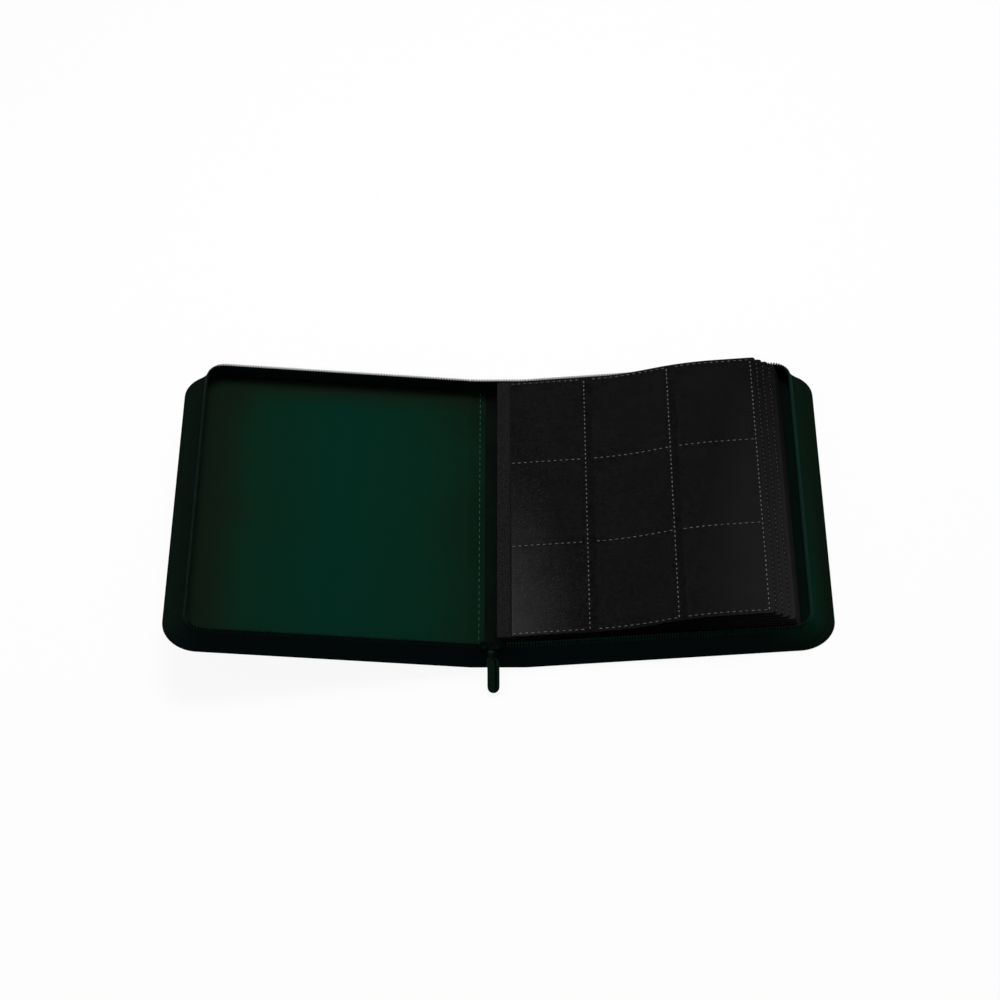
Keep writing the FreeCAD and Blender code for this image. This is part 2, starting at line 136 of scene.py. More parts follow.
# %% Floor
GROUND_Z = -0.0004
GLOW_SHARE = 0.92
bpy.ops.mesh.primitive_plane_add(size=8.0, location=(0.0, 0.0, GROUND_Z))
floor = bpy.context.object
floor.name = "pale_floor"
paper = bpy.data.materials.new("white_paper")
paper.use_nodes = True
tree = paper.node_tree
matt = tree.nodes["Principled BSDF"]
matt.inputs["Base Color"].default_value = (0.93, 0.93, 0.93, 1.0)
matt.inputs["Roughness"].default_value = 0.9
matt.inputs["Specular IOR Level"].default_value = 0.0
dim = node(tree, "ShaderNodeBsdfDiffuse")
dim.inputs["Color"].default_value = (0.35, 0.35, 0.35, 1.0)
glow = node(tree, "ShaderNodeEmission", strength=1.0)
seen = node(tree, "ShaderNodeMixShader")
seen.inputs[0].default_value = GLOW_SHARE
mixed = node(tree, "ShaderNodeMixShader")
wire(tree, (matt.outputs[0], seen.inputs[1]), (glow.outputs[0], seen.inputs[2]),
     (seen_directly(tree), mixed.inputs[0]), (dim.outputs[0], mixed.inputs[1]),
     (seen.outputs[0], mixed.inputs[2]), (mixed.outputs[0], tree.nodes["Material Output"].inputs[0]))
floor.data.materials.append(paper)
print("floor:", floor.name)

# %% [markdown]
# Two soft boxes do the rest: a large one high over the middle, and a low one at the left that
# leaves a faint sheen on the pockets' film. Sun lamps would give hard edges that the photo lacks.

# %% Lamps
def soft_box(name, place, aim_at, size, watts):
    bpy.ops.object.light_add(type="AREA", location=place)
    lamp = bpy.context.object
    lamp.name = name
    lamp.data.shape = "DISK"
    lamp.data.size = size
    lamp.data.energy = watts
    way = Vector(aim_at) - Vector(place)
    lamp.rotation_euler = way.to_track_quat("-Z", "Y").to_euler()
    print("lamp", name, watts, "W")


soft_box("high_box", (-0.1, 0.5, 1.55), (-0.1, 0.0, 0.0), 0.9, 19.0)
soft_box("side_box", (-1.5, -0.6, 0.9), (0.0, 0.0, 0.0), 0.8, 3.0)

# %% [markdown]
# ## Finishes
# Each finish is one shader with its own grain. Pictures of cloth and leather could be wrapped round
# the pieces, but noise and wave patterns need no files and never show a repeat. The colours are dark,
# so gloss is held low: on the real cover the highlights are green too, which a tint of the gloss gives.

# %% A starting finish
def finish(name, rough, gloss, tint=(1.0, 1.0, 1.0)):
    made = bpy.data.materials.new(name)
    made.use_nodes = True
    shader = made.node_tree.nodes["Principled BSDF"]
    shader.inputs["Roughness"].default_value = rough
    shader.inputs["Specular IOR Level"].default_value = gloss
    shader.inputs["Specular Tint"].default_value = (*tint, 1.0)
    return made


def base_colour(made):
    return made.node_tree.nodes["Principled BSDF"].inputs["Base Color"]


def colour_ramp(tree, tones):
    """A ramp with one stop for each (position, colour)."""
    ramp = node(tree, "ShaderNodeValToRGB")
    stops = ramp.color_ramp.elements
    for position, _ in tones[1:-1]:
        stops.new(position)
    for stop, (position, colour) in zip(stops, tones):
        stop.position = position
        stop.color = (*colour, 1.0)
    return ramp


def patchy(made, low, high, scale, detail=4.0, start=0.35, end=0.65):
    """Colour that drifts between two tones, as dye and wear do. Gives back the place that it reads."""
    tree = made.node_tree
    place = node(tree, "ShaderNodeTexCoord").outputs["Object"]
    noise = node(tree, "ShaderNodeTexNoise", scale=scale, detail=detail)
    ramp = colour_ramp(tree, ((start, low), (end, high)))
    wire(tree, (place, noise.inputs["Vector"]), (noise.outputs["Fac"], ramp.inputs["Fac"]),
         (ramp.outputs["Color"], base_colour(made)))
    return place


print("finish helpers ready")

# %% Bumps
def raised(made, height, strength, distance):
    """A bump from any height pattern."""
    tree = made.node_tree
    bump = node(tree, "ShaderNodeBump", strength=strength, distance=distance)
    wire(tree, (height, bump.inputs["Height"]),
         (bump.outputs["Normal"], tree.nodes["Principled BSDF"].inputs["Normal"]))


def grained(made, place, scale, detail, strength, distance):
    """A fine uneven bump, as on moulded plastic, cast metal or board."""
    noise = node(made.node_tree, "ShaderNodeTexNoise", scale=scale, detail=detail)
    wire(made.node_tree, (place, noise.inputs["Vector"]))
    raised(made, noise.outputs["Fac"], strength, distance)


print("bump helpers ready")

# %% [markdown]
# Some finishes carry painted light and shade that change over the album: a wall is lighter and
# greener at one end, or a sheet has a painted sheen in one place. Vertex colours could carry that, but
# a share worked out from the place needs no vertex painting.

# %% Colour by place
X, Y, Z = 0, 1, 2


def ranged(tree, value, start, end, low, high):
    """Maps a value from one range to another."""
    part = node(tree, "ShaderNodeMapRange")
    for key, number in (("From Min", start), ("From Max", end), ("To Min", low), ("To Max", high)):
        part.inputs[key].default_value = number
    wire(tree, (value, part.inputs["Value"]))
    return part.outputs[0]


def mixed_in(made, share, colour):
    """Mixes a colour over the finish's own, by a share from nought to one."""
    tree = made.node_tree
    mix = node(tree, "ShaderNodeMix", data_type="RGBA")
    mix.inputs[7].default_value = (*colour, 1.0)
    own = base_colour(made).links[0].from_socket
    wire(tree, (share, mix.inputs[0]), (own, mix.inputs[6]), (mix.outputs[2], base_colour(made)))


def tinted(made, ramps, colour):
    """Mixes in a colour by place: each ramp is (axis, where it starts, where it is full, least share)."""
    tree = made.node_tree
    split = node(tree, "ShaderNodeSeparateXYZ")
    wire(tree, (node(tree, "ShaderNodeTexCoord").outputs["Object"], split.inputs[0]))
    share = None
    for axis, start, end, least in ramps:
        part = ranged(tree, split.outputs[axis], start, end, least, 1.0)
        if share:
            both = node(tree, "ShaderNodeMath", operation="MULTIPLY")
            wire(tree, (share, both.inputs[0]), (part, both.inputs[1]))
            part = both.outputs[0]
        share = part
    mixed_in(made, share, colour)


def faded_patch(made, place, middle, reach):
    """One in the middle of a patch, falling to nought at its reach."""
    tree = made.node_tree
    inside = node(tree, "ShaderNodeMapping", vector_type="TEXTURE")
    inside.inputs["Location"].default_value = middle
    inside.inputs["Scale"].default_value = reach
    ball = node(tree, "ShaderNodeTexGradient", gradient_type="SPHERICAL")
    wire(tree, (place, inside.inputs["Vector"]), (inside.outputs[0], ball.inputs["Vector"]))
    return ball.outputs["Fac"]


print("colour helpers ready")

# %% [markdown]
# The covers are coated cloth pressed with a pebbled grain. Real dents in the mesh would take millions
# of faces, so cells make the pebbles and fine noise the creases between them, both as a bump. The wall's
# colour also carries painted light: a bluer painted shade at the foot of the album, a lighter and
# greener right wall, and a painted teal highlight near the right rim.

# %% Leather-look skin
GREEN_GLOSS = (0.25, 1.0, 0.72)


def leather_finish(name, low, high, gloss, rough):
    made = finish(name, rough, gloss, GREEN_GLOSS)
    tree = made.node_tree
    place = patchy(made, low, high, 460.0, 5.0, 0.3, 0.7)
    pebbles = node(tree, "ShaderNodeTexVoronoi", feature="SMOOTH_F1", scale=780.0)
    creases = node(tree, "ShaderNodeTexNoise", scale=2600.0, detail=3.0)
    both = node(tree, "ShaderNodeMath", operation="ADD")
    wire(tree, (place, pebbles.inputs["Vector"]), (place, creases.inputs["Vector"]),
         (pebbles.outputs["Distance"], both.inputs[0]), (creases.outputs["Fac"], both.inputs[1]))
    raised(made, both.outputs[0], 0.6, 0.0003)
    return made


leather = leather_finish("green_leather", (0.0032, 0.0068, 0.0046), (0.0048, 0.0098, 0.0066), 0.0, 0.6)
# Painted shade: the foot wall is tinted bluer and darker.
tinted(leather, [(Y, -0.137, -0.151, 0.0), (X, 0.100, 0.050, 0.0)], (0.0034, 0.0072, 0.0076))
# Painted light: the right wall is tinted lighter and greener.
tinted(leather, [(X, 0.095, 0.112, 0.0)], (0.0046, 0.0104, 0.0060))
# Painted highlight: a teal glow near the top of the right wall.
tinted(leather, [(Z, 0.005, 0.021, 0.0), (X, 0.07, 0.112, 0.0), (Y, 0.14, -0.13, 0.25)],
       (0.0052, 0.0320, 0.0195))
cover_leather = leather_finish("cover_leather", (0.0034, 0.0074, 0.0050), (0.0052, 0.0108, 0.0073),
                               0.06, 0.45)
tab_leather = leather_finish("tab_leather", (0.0040, 0.0108, 0.0066), (0.0062, 0.0150, 0.0096), 0.012, 0.45)
# Painted shade: a darker copy of the tab's leather for the faces in its groove.
tab_groove_painted_shade = leather_finish("tab_groove_painted_shade", (0.0010, 0.0024, 0.0016), (0.0018, 0.0040, 0.0027), 0.0, 0.6)
print("finishes:", leather.name, cover_leather.name, tab_leather.name, tab_groove_painted_shade.name)

# %% [markdown]
# Cloth is a pattern of crossing threads. Two wave patterns at right angles make a plain weave, and
# one slanting wave makes twill. A picture of cloth would do the same, but no pictures are used here.

# %% Weaves
# A wave of scale 1 repeats after this many metres, straight and on the slant.
STRAIGHT_WAVE, SLANT_WAVE = 0.314, 0.628


def woven(made, place, period, strength, distance):
    tree = made.node_tree
    across, along = [node(tree, "ShaderNodeTexWave", bands_direction=way, scale=STRAIGHT_WAVE / period,
                          distortion=0.4) for way in "XY"]
    both = node(tree, "ShaderNodeMath", operation="MULTIPLY")
    wire(tree, (place, across.inputs["Vector"]), (place, along.inputs["Vector"]),
         (across.outputs["Fac"], both.inputs[0]), (along.outputs["Fac"], both.inputs[1]))
    raised(made, both.outputs[0], strength, distance)


def twilled(made, place, period, strength, distance):
    """Gives back the height of the ribs."""
    slant = node(made.node_tree, "ShaderNodeTexWave", bands_direction="DIAGONAL", scale=SLANT_WAVE / period,
                 distortion=0.6)
    wire(made.node_tree, (place, slant.inputs["Vector"]))
    raised(made, slant.outputs["Fac"], strength, distance)
    return slant.outputs["Fac"]


print("weave helpers ready")

# %% [markdown]
# The lining is green satin. Its colour carries a painted sheen, brightest in the middle of the front
# cover, and painted shade that turns it olive towards its sides and its head, and dark over the back
# cover. A lamp could be placed to do that, but it would light the leaves as well, so the painted tone
# follows the width of the cover, a little unevenly.

# %% Satin lining
LINING_LEFT, LINING_RIGHT = -0.385, -0.105
# Painted sheen in the middle of the front cover and painted shade at its sides; the last tone is painted
# shade over the back cover.
SATIN_SHEEN_AND_SHADE = ((0.0, (0.0050, 0.0094, 0.0052)), (0.10, (0.0046, 0.0102, 0.0056)),
         (0.20, (0.0024, 0.0170, 0.0092)), (0.45, (0.0010, 0.0205, 0.0122)),
         (0.68, (0.0018, 0.0186, 0.0102)), (0.86, (0.0030, 0.0128, 0.0068)),
         (1.0, (0.0018, 0.0042, 0.0034)))
satin = finish("satin_lining", 0.55, 0.01, (0.2, 1.0, 0.7))
tree = satin.node_tree
place = node(tree, "ShaderNodeTexCoord").outputs["Object"]
split = node(tree, "ShaderNodeSeparateXYZ")
drift = node(tree, "ShaderNodeTexNoise", scale=14.0, detail=3.0)
uneven = node(tree, "ShaderNodeMath", operation="MULTIPLY_ADD")
uneven.inputs[1].default_value = 0.05
width = ranged(tree, uneven.outputs[0], LINING_LEFT, LINING_RIGHT, 0.0, 1.0)
ramp = colour_ramp(tree, SATIN_SHEEN_AND_SHADE)
wire(tree, (place, split.inputs[0]), (place, drift.inputs["Vector"]),
     (drift.outputs["Fac"], uneven.inputs[0]), (split.outputs[X], uneven.inputs[2]),
     (width, ramp.inputs["Fac"]), (ramp.outputs["Color"], base_colour(satin)))
woven(satin, place, 0.0006, 0.25, 0.00008)
# Painted shade: olive near the head wall of the front cover.
tinted(satin, [(Y, 0.122, 0.148, 0.0), (X, -0.105, -0.150, 0.0)], (0.0052, 0.0104, 0.0060))
print("finish:", satin.name, "with", len(SATIN_SHEEN_AND_SHADE), "tones")

# %% [markdown]
# The zip's tape is plain dark cloth. The spine and the inside of the walls are lined with the lining's
# satin, here in painted shade. One finish could do for all three, but the walls' painted shade is
# bluer and darkens to the right, and the tape is a coarser twill.

# %% Spine satin and wall lining in painted shade, and tape
# Painted shade: the spine's satin is made dark where the spine lies in shade.
satin_in_painted_shade = finish("spine_satin", 0.7, 0.0)
place = patchy(satin_in_painted_shade, (0.0026, 0.0052, 0.0039), (0.0036, 0.0072, 0.0052), 40.0)
woven(satin_in_painted_shade, place, 0.0006, 0.3, 0.00008)

# Painted shade: the inside of the walls, lined with the same satin, is made dark and bluer.
wall_lining_painted_shade = finish("wall_lining_painted_shade", 0.75, 0.0)
place = patchy(wall_lining_painted_shade, (0.0034, 0.0066, 0.0068), (0.0050, 0.0096, 0.0098), 60.0)
# Painted shade: darker still on the walls towards the right.
tinted(wall_lining_painted_shade, [(X, 0.04, 0.09, 0.0)], (0.0015, 0.0030, 0.0028))
woven(wall_lining_painted_shade, place, 0.0006, 0.3, 0.00008)

tape_cloth = finish("zip_tape_cloth", 0.75, 0.0)
place = patchy(tape_cloth, (0.0010, 0.0034, 0.0026), (0.0020, 0.0062, 0.0048), 300.0)
twilled(tape_cloth, place, 0.0009, 0.5, 0.00015)
print("finishes:", satin_in_painted_shade.name, wall_lining_painted_shade.name, tape_cloth.name)

# %% [markdown]
# The leaves are black cloth with a painted sheen that makes them greyer towards their free edge and
# foot, and the binding is black twill with ribs that catch the light. Modelled ribs would be far too
# many faces, so the same slanting wave that bumps the binding also colours it.

# %% Black cloth and binding twill
black_cloth = finish("leaf_black_cloth", 0.8, 0.0)
place = patchy(black_cloth, (0.0030, 0.0030, 0.0031), (0.0078, 0.0079, 0.0079), 330.0, 5.0, 0.32, 0.68)
twilled(black_cloth, place, 0.0011, 0.2, 0.00008)
# Painted sheen: the cloth is lighter towards the free edge of the leaves and their foot.
cloth_painted_sheen = faded_patch(black_cloth, place, (0.098, -0.17, 0.02), (0.085, 0.33, 0.06))
mixed_in(black_cloth, cloth_painted_sheen, (0.021, 0.021, 0.021))

binding_twill = finish("binding_twill", 0.8, 0.0)
tree = binding_twill.node_tree
place = node(tree, "ShaderNodeTexCoord").outputs["Object"]
ribs = twilled(binding_twill, place, 0.0021, 0.6, 0.0003)
speck = node(tree, "ShaderNodeTexNoise", scale=900.0, detail=3.0)
depth = node(tree, "ShaderNodeMath", operation="MULTIPLY")
ramp = colour_ramp(tree, ((0.16, (0.0002, 0.0002, 0.0002)), (0.52, (0.031, 0.031, 0.031))))
wire(tree, (place, speck.inputs["Vector"]), (ribs, depth.inputs[0]), (speck.outputs["Fac"], depth.inputs[1]),
     (depth.outputs[0], ramp.inputs["Fac"]), (ramp.outputs["Color"], base_colour(binding_twill)))
print("finishes:", black_cloth.name, binding_twill.name)

# %% [markdown]
# Thread is twisted, so a fine twill suits it. The teeth are moulded plastic with a painted highlight
# that makes them brighter on the right rim, and the slider is metal with a dark coat. Bare metal would
# mirror the white surroundings and look pale, so it is made as a dark coat with very little gloss.

# %% Thread, teeth and metal
def thread_finish(name, low, high):
    made = finish(name, 0.65, 0.1)
    place = patchy(made, low, high, 700.0)
    twilled(made, place, 0.0007, 0.5, 0.00012)
    return made


grey_thread = thread_finish("grey_thread", (0.14, 0.14, 0.14), (0.32, 0.32, 0.32))
# Painted shade: a darker copy of the grey thread, for the leaves under the top one.
grey_thread_in_painted_shade = thread_finish("grey_thread_in_painted_shade", (0.045, 0.045, 0.045), (0.11, 0.11, 0.11))
green_thread = thread_finish("green_thread", (0.016, 0.092, 0.048), (0.030, 0.140, 0.076))

tooth_plastic = finish("tooth_plastic", 0.45, 0.01, (0.4, 1.0, 0.85))
place = patchy(tooth_plastic, (0.0024, 0.0074, 0.0058), (0.0042, 0.0126, 0.0098), 220.0)
# Painted highlight: the teeth of the right rim are brighter teal.
tinted(tooth_plastic, [(X, 0.098, 0.107, 0.0)], (0.0052, 0.0290, 0.0205))
grained(tooth_plastic, place, 3000.0, 2.0, 0.2, 0.0001)

dark_metal = finish("dark_coated_metal", 0.12, 0.004, (0.75, 1.0, 0.9))
place = patchy(dark_metal, (0.0006, 0.0017, 0.0013), (0.0012, 0.0030, 0.0024), 500.0)
grained(dark_metal, place, 1800.0, 4.0, 0.15, 0.00008)
print("finishes:", grey_thread.name, green_thread.name, tooth_plastic.name, dark_metal.name)

# %% [markdown]
# The pockets are a soft, slightly hazy film. A refracting film this thin would only add noise, so it
# is a faint grey skin that lets most light through, thicker in places, with a paler free edge.

# %% Pocket film
film = finish("pocket_film", 0.4, 0.008)
film.surface_render_method = "BLENDED"
tree = film.node_tree
place = patchy(film, (0.0105, 0.0105, 0.0106), (0.0170, 0.0170, 0.0172), 34.0, 5.0)
own = node(tree, "ShaderNodeUVMap", uv_map="UVMap")
split = node(tree, "ShaderNodeSeparateXYZ")
cloud = node(tree, "ShaderNodeTexNoise", scale=55.0, detail=6.0)
wire(tree, (own.outputs[0], split.inputs[0]), (place, cloud.inputs["Vector"]))
edge = ranged(tree, split.outputs[X], 0.0, 0.014, 0.20, 0.0)
haze = ranged(tree, cloud.outputs["Fac"], 0.3, 0.7, 0.13, 0.23)
raised(film, cloud.outputs["Fac"], 0.012, 0.001)
print("finish:", film.name)

# %% Painted sheen on the film
# Painted highlight: a paler, less clear patch of film at the foot of the leaves' left column.
film_painted_sheen = faded_patch(film, place, (-0.142, -0.15, 0.025), (0.062, 0.20, 0.062))
mixed_in(film, film_painted_sheen, (0.074, 0.074, 0.075))
sheen_and_haze = node(tree, "ShaderNodeMath", operation="MULTIPLY_ADD")
sheen_and_haze.inputs[1].default_value = 0.2
cover = node(tree, "ShaderNodeMath", operation="ADD")
wire(tree, (film_painted_sheen, sheen_and_haze.inputs[0]), (haze, sheen_and_haze.inputs[2]), (sheen_and_haze.outputs[0], cover.inputs[0]),
     (edge, cover.inputs[1]), (cover.outputs[0], tree.nodes["Principled BSDF"].inputs["Alpha"]))
print("film nodes:", len(tree.nodes))

# %% [markdown]
# The boards inside the covers and spine are pressed grey fibre. Their solids have the right shape, so
# they stay and only take a finish. New boards would look the same and cost more.

# %% Board inside the covers
greyboard = finish("greyboard", 0.9, 0.2)
place = patchy(greyboard, (0.13, 0.125, 0.115), (0.19, 0.18, 0.165), 160.0, 6.0)
grained(greyboard, place, 1200.0, 5.0, 0.3, 0.0002)


def refinish(name, made):
    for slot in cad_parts[name].material_slots:
        slot.material = made


for name in ("back_board", "front_board", "spine_board"):
    refinish(name, greyboard)
print("boards:", greyboard.name)

# %% [markdown]
# ## Where things are
# The open album bends a little at each of its two hinges. A cover or the spine is easiest to think of
# lying flat, in millimetres from the middle of the spine, so points are written that way and then
# folded into place. Parent objects could do the folding, but finished pieces have to sit at the origin.

# %% Three flat frames
MM = 0.001
ROW_X = 149.915
HINGE_X, HINGE_Z = 22.85, 0.45
BEND = math.radians(5.35)
HALF_Y, FORE_X, LAYER_X = 158.0, 276.5, 26.85


def folded(p, hinge_x):
    dx, dz = p[0] - hinge_x, p[2] - HINGE_Z
    return (hinge_x + dx * math.cos(BEND) + dz * math.sin(BEND), p[1],
            HINGE_Z - dx * math.sin(BEND) + dz * math.cos(BEND))


def on_back(p):
    return Vector(((p[0] - ROW_X) * MM, p[1] * MM, p[2] * MM))


def on_spine(p):
    return on_back(folded(p, HINGE_X))


def on_front(p):
    return on_spine(folded(p, -HINGE_X))


TRAYS = (("back", 1.0, on_back), ("front", -1.0, on_front))
print("front tray's far corner:", [round(x, 3) for x in on_front((-FORE_X, HALF_Y, 0.0))])

# %% [markdown]
# Most pieces start as a flat cut of cloth, so the first helper adds a grid and lays it over its
# form, row by row. Modelling each by hand would be slow and uneven. The other helpers close a rolled
# cut into a tube, run a modifier, give a sheet its thickness and join pieces.

# %% Helpers for cut cloth
def choose(piece):
    bpy.ops.object.select_all(action="DESELECT")
    piece.select_set(True)
    bpy.context.view_layer.objects.active = piece


def cut_cloth(name, across, along, place, finishes, row_finish=None):
    """A grid of across by along squares whose corner (i, j) goes to place(i, j)."""
    bpy.ops.object.select_all(action="DESELECT")
    bpy.ops.mesh.primitive_grid_add(x_subdivisions=across, y_subdivisions=along, size=1.0)
    piece = bpy.context.object
    piece.name = name
    piece.data.name = name
    for made in finishes:
        piece.data.materials.append(made)
    if row_finish:
        for face in piece.data.polygons:
            face.material_index = row_finish(int((face.center.y + 0.5) * along))
    for corner in piece.data.vertices:
        i = round((corner.co.x + 0.5) * across)
        j = round((corner.co.y + 0.5) * along)
        corner.co = place(i, j)
    piece.data.update()
    return piece


def new_mesh(name, points, faces, made):
    mesh = bpy.data.meshes.new(name)
    mesh.from_pydata(points, [], faces)
    mesh.materials.append(made)
    piece = bpy.data.objects.new(name, mesh)
    scene.collection.objects.link(piece)
    return piece


def join(name, pieces):
    bpy.ops.object.select_all(action="DESELECT")
    for piece in pieces:
        piece.select_set(True)
    bpy.context.view_layer.objects.active = pieces[0]
    bpy.ops.object.join()
    pieces[0].name = name
    pieces[0].data.name = name
    return pieces[0]


print("cloth helpers ready")

# %% Helpers for closing and smoothing
WELD = 1e-6


def close_up(piece):
    choose(piece)
    bpy.ops.object.mode_set(mode="EDIT")
    bpy.ops.mesh.select_all(action="SELECT")
    bpy.ops.mesh.remove_doubles(threshold=WELD)
    bpy.ops.mesh.fill_holes(sides=0)
    bpy.ops.mesh.normals_make_consistent(inside=False)
    bpy.ops.object.mode_set(mode="OBJECT")
    return piece


def modify(piece, kind, **settings):
    choose(piece)
    bpy.ops.object.modifier_add(type=kind)
    modifier = piece.modifiers[-1]
    for key, value in settings.items():
        setattr(modifier, key, value)
    bpy.ops.object.modifier_apply(modifier=modifier.name)
    return piece


def smooth(piece, degrees=50.0):
    choose(piece)
    bpy.ops.object.shade_smooth_by_angle(angle=math.radians(degrees))
    return piece


def thicken(piece, thickness):
    """Gives a sheet its thickness, downwards from the face that was laid."""
    choose(piece)
    bpy.ops.object.mode_set(mode="EDIT")
    bpy.ops.mesh.select_all(action="SELECT")
    bpy.ops.mesh.normals_make_consistent(inside=False)
    bpy.ops.object.mode_set(mode="OBJECT")
    if sum(face.normal.z * face.area for face in piece.data.polygons) < 0:
        piece.data.flip_normals()
    return modify(piece, "SOLIDIFY", thickness=thickness * MM, offset=-1.0)


print("closing helpers ready")

# %% [markdown]
# ## The soft walls
# Each cover has a soft wall round three sides that leans inward and is a little hollow, with a
# seam near its foot. A bevelled curve could sweep one section round the edge, but this section leans
# more at the fore edge than at the ends, so a long cut is laid round the outline ring by ring.

# %% The outline of a tray at any height
WALL_FOOT, WALL_TOP, WALL_T = 0.9, 20.5, 1.8
FORE_LEAN, END_LEAN, ROUND_LEAN = 18.75, 7.0, 13.5
FOOT_ROUND = 30.0
HOLLOW = 0.48
END_STEPS, ROUND_STEPS, FORE_STEPS = 18, 18, 26


def lean(z):
    """How much of the wall's whole lean it has at height z, from 0 at its foot to 1 at its top."""
    height = min(1.0, max(0.0, z - WALL_FOOT) / (WALL_TOP - WALL_FOOT))
    return height + HOLLOW * height * (1.0 - height)


def outline(z, inset):
    """A tray's fore edge, half length and corner radius at height z."""
    share = lean(z)
    return (FORE_X - FORE_LEAN * share - inset, HALF_Y - END_LEAN * share - inset,
            FOOT_ROUND - ROUND_LEAN * share - inset)


def tray_ring(side, z, inset):
    """Points round three sides of a tray, from the foot of the spine to its head."""
    fore, half, r = outline(z, inset)
    ends = [LAYER_X + (fore - r - LAYER_X) * (i / END_STEPS) for i in range(END_STEPS + 1)]
    turns = [math.radians(90.0 * i / ROUND_STEPS) for i in range(ROUND_STEPS)]
    ring = [(x, -half) for x in ends[:-1]]
    ring += [(fore - r + r * math.sin(a), r - half - r * math.cos(a)) for a in turns]
    ring += [(fore, (half - r) * (2.0 * i / FORE_STEPS - 1.0)) for i in range(FORE_STEPS)]
    ring += [(fore - r + r * math.cos(a), half - r + r * math.sin(a)) for a in turns]
    ring += [(x, half) for x in reversed(ends)]
    return [(side * x, y, z) for x, y in ring]


print("rim:", outline(WALL_TOP, 0.0), "mm")

# %% Both walls
# The section goes up the outside and down the inside, as (height, inset).
OUTSIDE = [(0.02, 5.0), (0.02, 1.7), (0.15, 0.8), (0.5, 0.25), (1.1, 0.0), (2.6, 0.0), (4.3, 0.0),
           (4.9, 0.1), (5.2, 0.55), (5.5, 0.1), (6.1, 0.0), (8.5, 0.0), (11.5, 0.0), (14.5, 0.0),
           (17.2, 0.0), (19.3, 0.0), (20.1, 0.06), (20.45, 0.3)]
INSIDE = [(20.5, 0.9), (20.45, 1.5), (20.1, 1.76), (19.0, 1.8), (16.0, 1.8), (12.5, 1.8), (9.0, 1.8),
          (6.0, 1.8), (3.5, 1.8), (1.1, 1.9), (0.92, 2.3), (0.92, 5.0)]
SECTION = OUTSIDE + INSIDE + OUTSIDE[:1]


def soft_wall(name, side, put):
    rings = [tray_ring(side, z, inset) for z, inset in SECTION]
    wall = cut_cloth(name, len(rings[0]) - 1, len(SECTION) - 1, lambda i, j: put(rings[j][i]),
                     [leather, wall_lining_painted_shade], lambda row: int(row > len(OUTSIDE)))
    return smooth(close_up(wall), 60.0)


walls = {label: soft_wall(label + "_cover_wall", side, put) for label, side, put in TRAYS}
print("walls:", len(walls["back"].data.polygons), "faces each")

# %% [markdown]
# ## Cover panels
# The leather under each board and the padded lining over it share the tray's outline, with two
# rounded fore corners. A rounded rectangle could be bevelled from a plane, but an even grid bends and
# crowns better, so its rows are set to the outline's width.

# %% A panel with two round corners
PANEL_ROWS, PANEL_TURN, PANEL_COLUMNS = 20, 12, 24
NEAR_EDGE = [1.0, 0.998, 0.99, 0.97, 0.93]
INNER = 0.86


def tray_panel(name, side, put, start, z, inset, height, made):
    """height(x, y, d) gives the panel's height at a point that is d from its edge."""
    fore, half, r = outline(z, inset)
    turns = [math.radians(90.0 * i / PANEL_TURN) for i in range(PANEL_TURN + 1)]
    rows = [(start + (fore - r - start) * i / PANEL_ROWS, half) for i in range(PANEL_ROWS)]
    rows += [(fore - r + r * math.sin(a), half - r + r * math.cos(a)) for a in turns]
    widths = [-w for w in NEAR_EDGE]
    widths += [-INNER + 2.0 * INNER * i / PANEL_COLUMNS for i in range(PANEL_COLUMNS + 1)]
    widths += NEAR_EDGE[::-1]

    def edge_distance(x, y):
        ox, oy = x - (fore - r), abs(y) - (half - r)
        if ox > 0 and oy > 0:
            return r - math.hypot(ox, oy)
        return min(fore - x, half - abs(y))

    def place(i, j):
        x, y = rows[i][0], rows[i][1] * widths[j]
        return put((side * x, y, height(x, y, max(0.0, edge_distance(x, y)))))
    return cut_cloth(name, len(rows) - 1, len(widths) - 1, place, [made])


print("panel grid:", PANEL_ROWS + PANEL_TURN, "rows")

# %% Leather under the boards
HINGE_REACH = 5.6
LEATHER_TOP, LEATHER_T = 0.9, 0.88
PANEL_INSET = 4.6


def outer_panel(name, side, put):
    panel = tray_panel(name, side, put, HINGE_X + HINGE_REACH, 0.0, PANEL_INSET,
                       lambda x, y, d: LEATHER_TOP, cover_leather)
    return smooth(thicken(panel, LEATHER_T), 40.0)


leathers = {label: outer_panel(label + "_cover_leather", side, put) for label, side, put in TRAYS}
print("cover leather:", [round(x, 3) for x in leathers["back"].dimensions])

# %% [markdown]
# The lining is sewn over thin foam, so it is slightly crowned and rolls down at its edge. A cloth
# simulation would be the way for a thick cushion. Here the foam is only a few millimetres thick, so a
# short formula gives the same roll and keeps clear of the walls.

# %% Padded linings
FLOOR_Z = 5.1
PAD_GAP, PAD_T = 0.4, 2.1
ROLL, ROLL_WIDTH = 1.5, 2.4
CROWN, CROWN_LENGTH, CROWN_WIDTH = 0.35, 245.0, 320.0


def pad_height(x, y, d):
    roll = ROLL * (1.0 - min(1.0, d / ROLL_WIDTH)) ** 2
    along = min(1.0, max(0.0, (x - LAYER_X) / CROWN_LENGTH))
    crown = CROWN * math.sin(math.pi * along) * math.cos(math.pi * y / CROWN_WIDTH)
    return FLOOR_Z + crown - roll


def lining_pad(name, side, put):
    pad = tray_panel(name, side, put, LAYER_X, FLOOR_Z, WALL_T + PAD_GAP, pad_height, satin)
    return smooth(thicken(pad, PAD_T), 60.0)


pads = {label: lining_pad(label + "_lining_pad", side, put) for label, side, put in TRAYS}
print("lining pads:", len(pads["back"].data.polygons), "faces each")

# %% [markdown]
# ## Spine and hinges
# The leather runs over the spine and bends at two hinge lines, and the satin does the same inside. One
# long sheet could be laid over all of it, but each strip over a hinge is its own piece, laid half in
# the frame on one side of the hinge and half in the other.

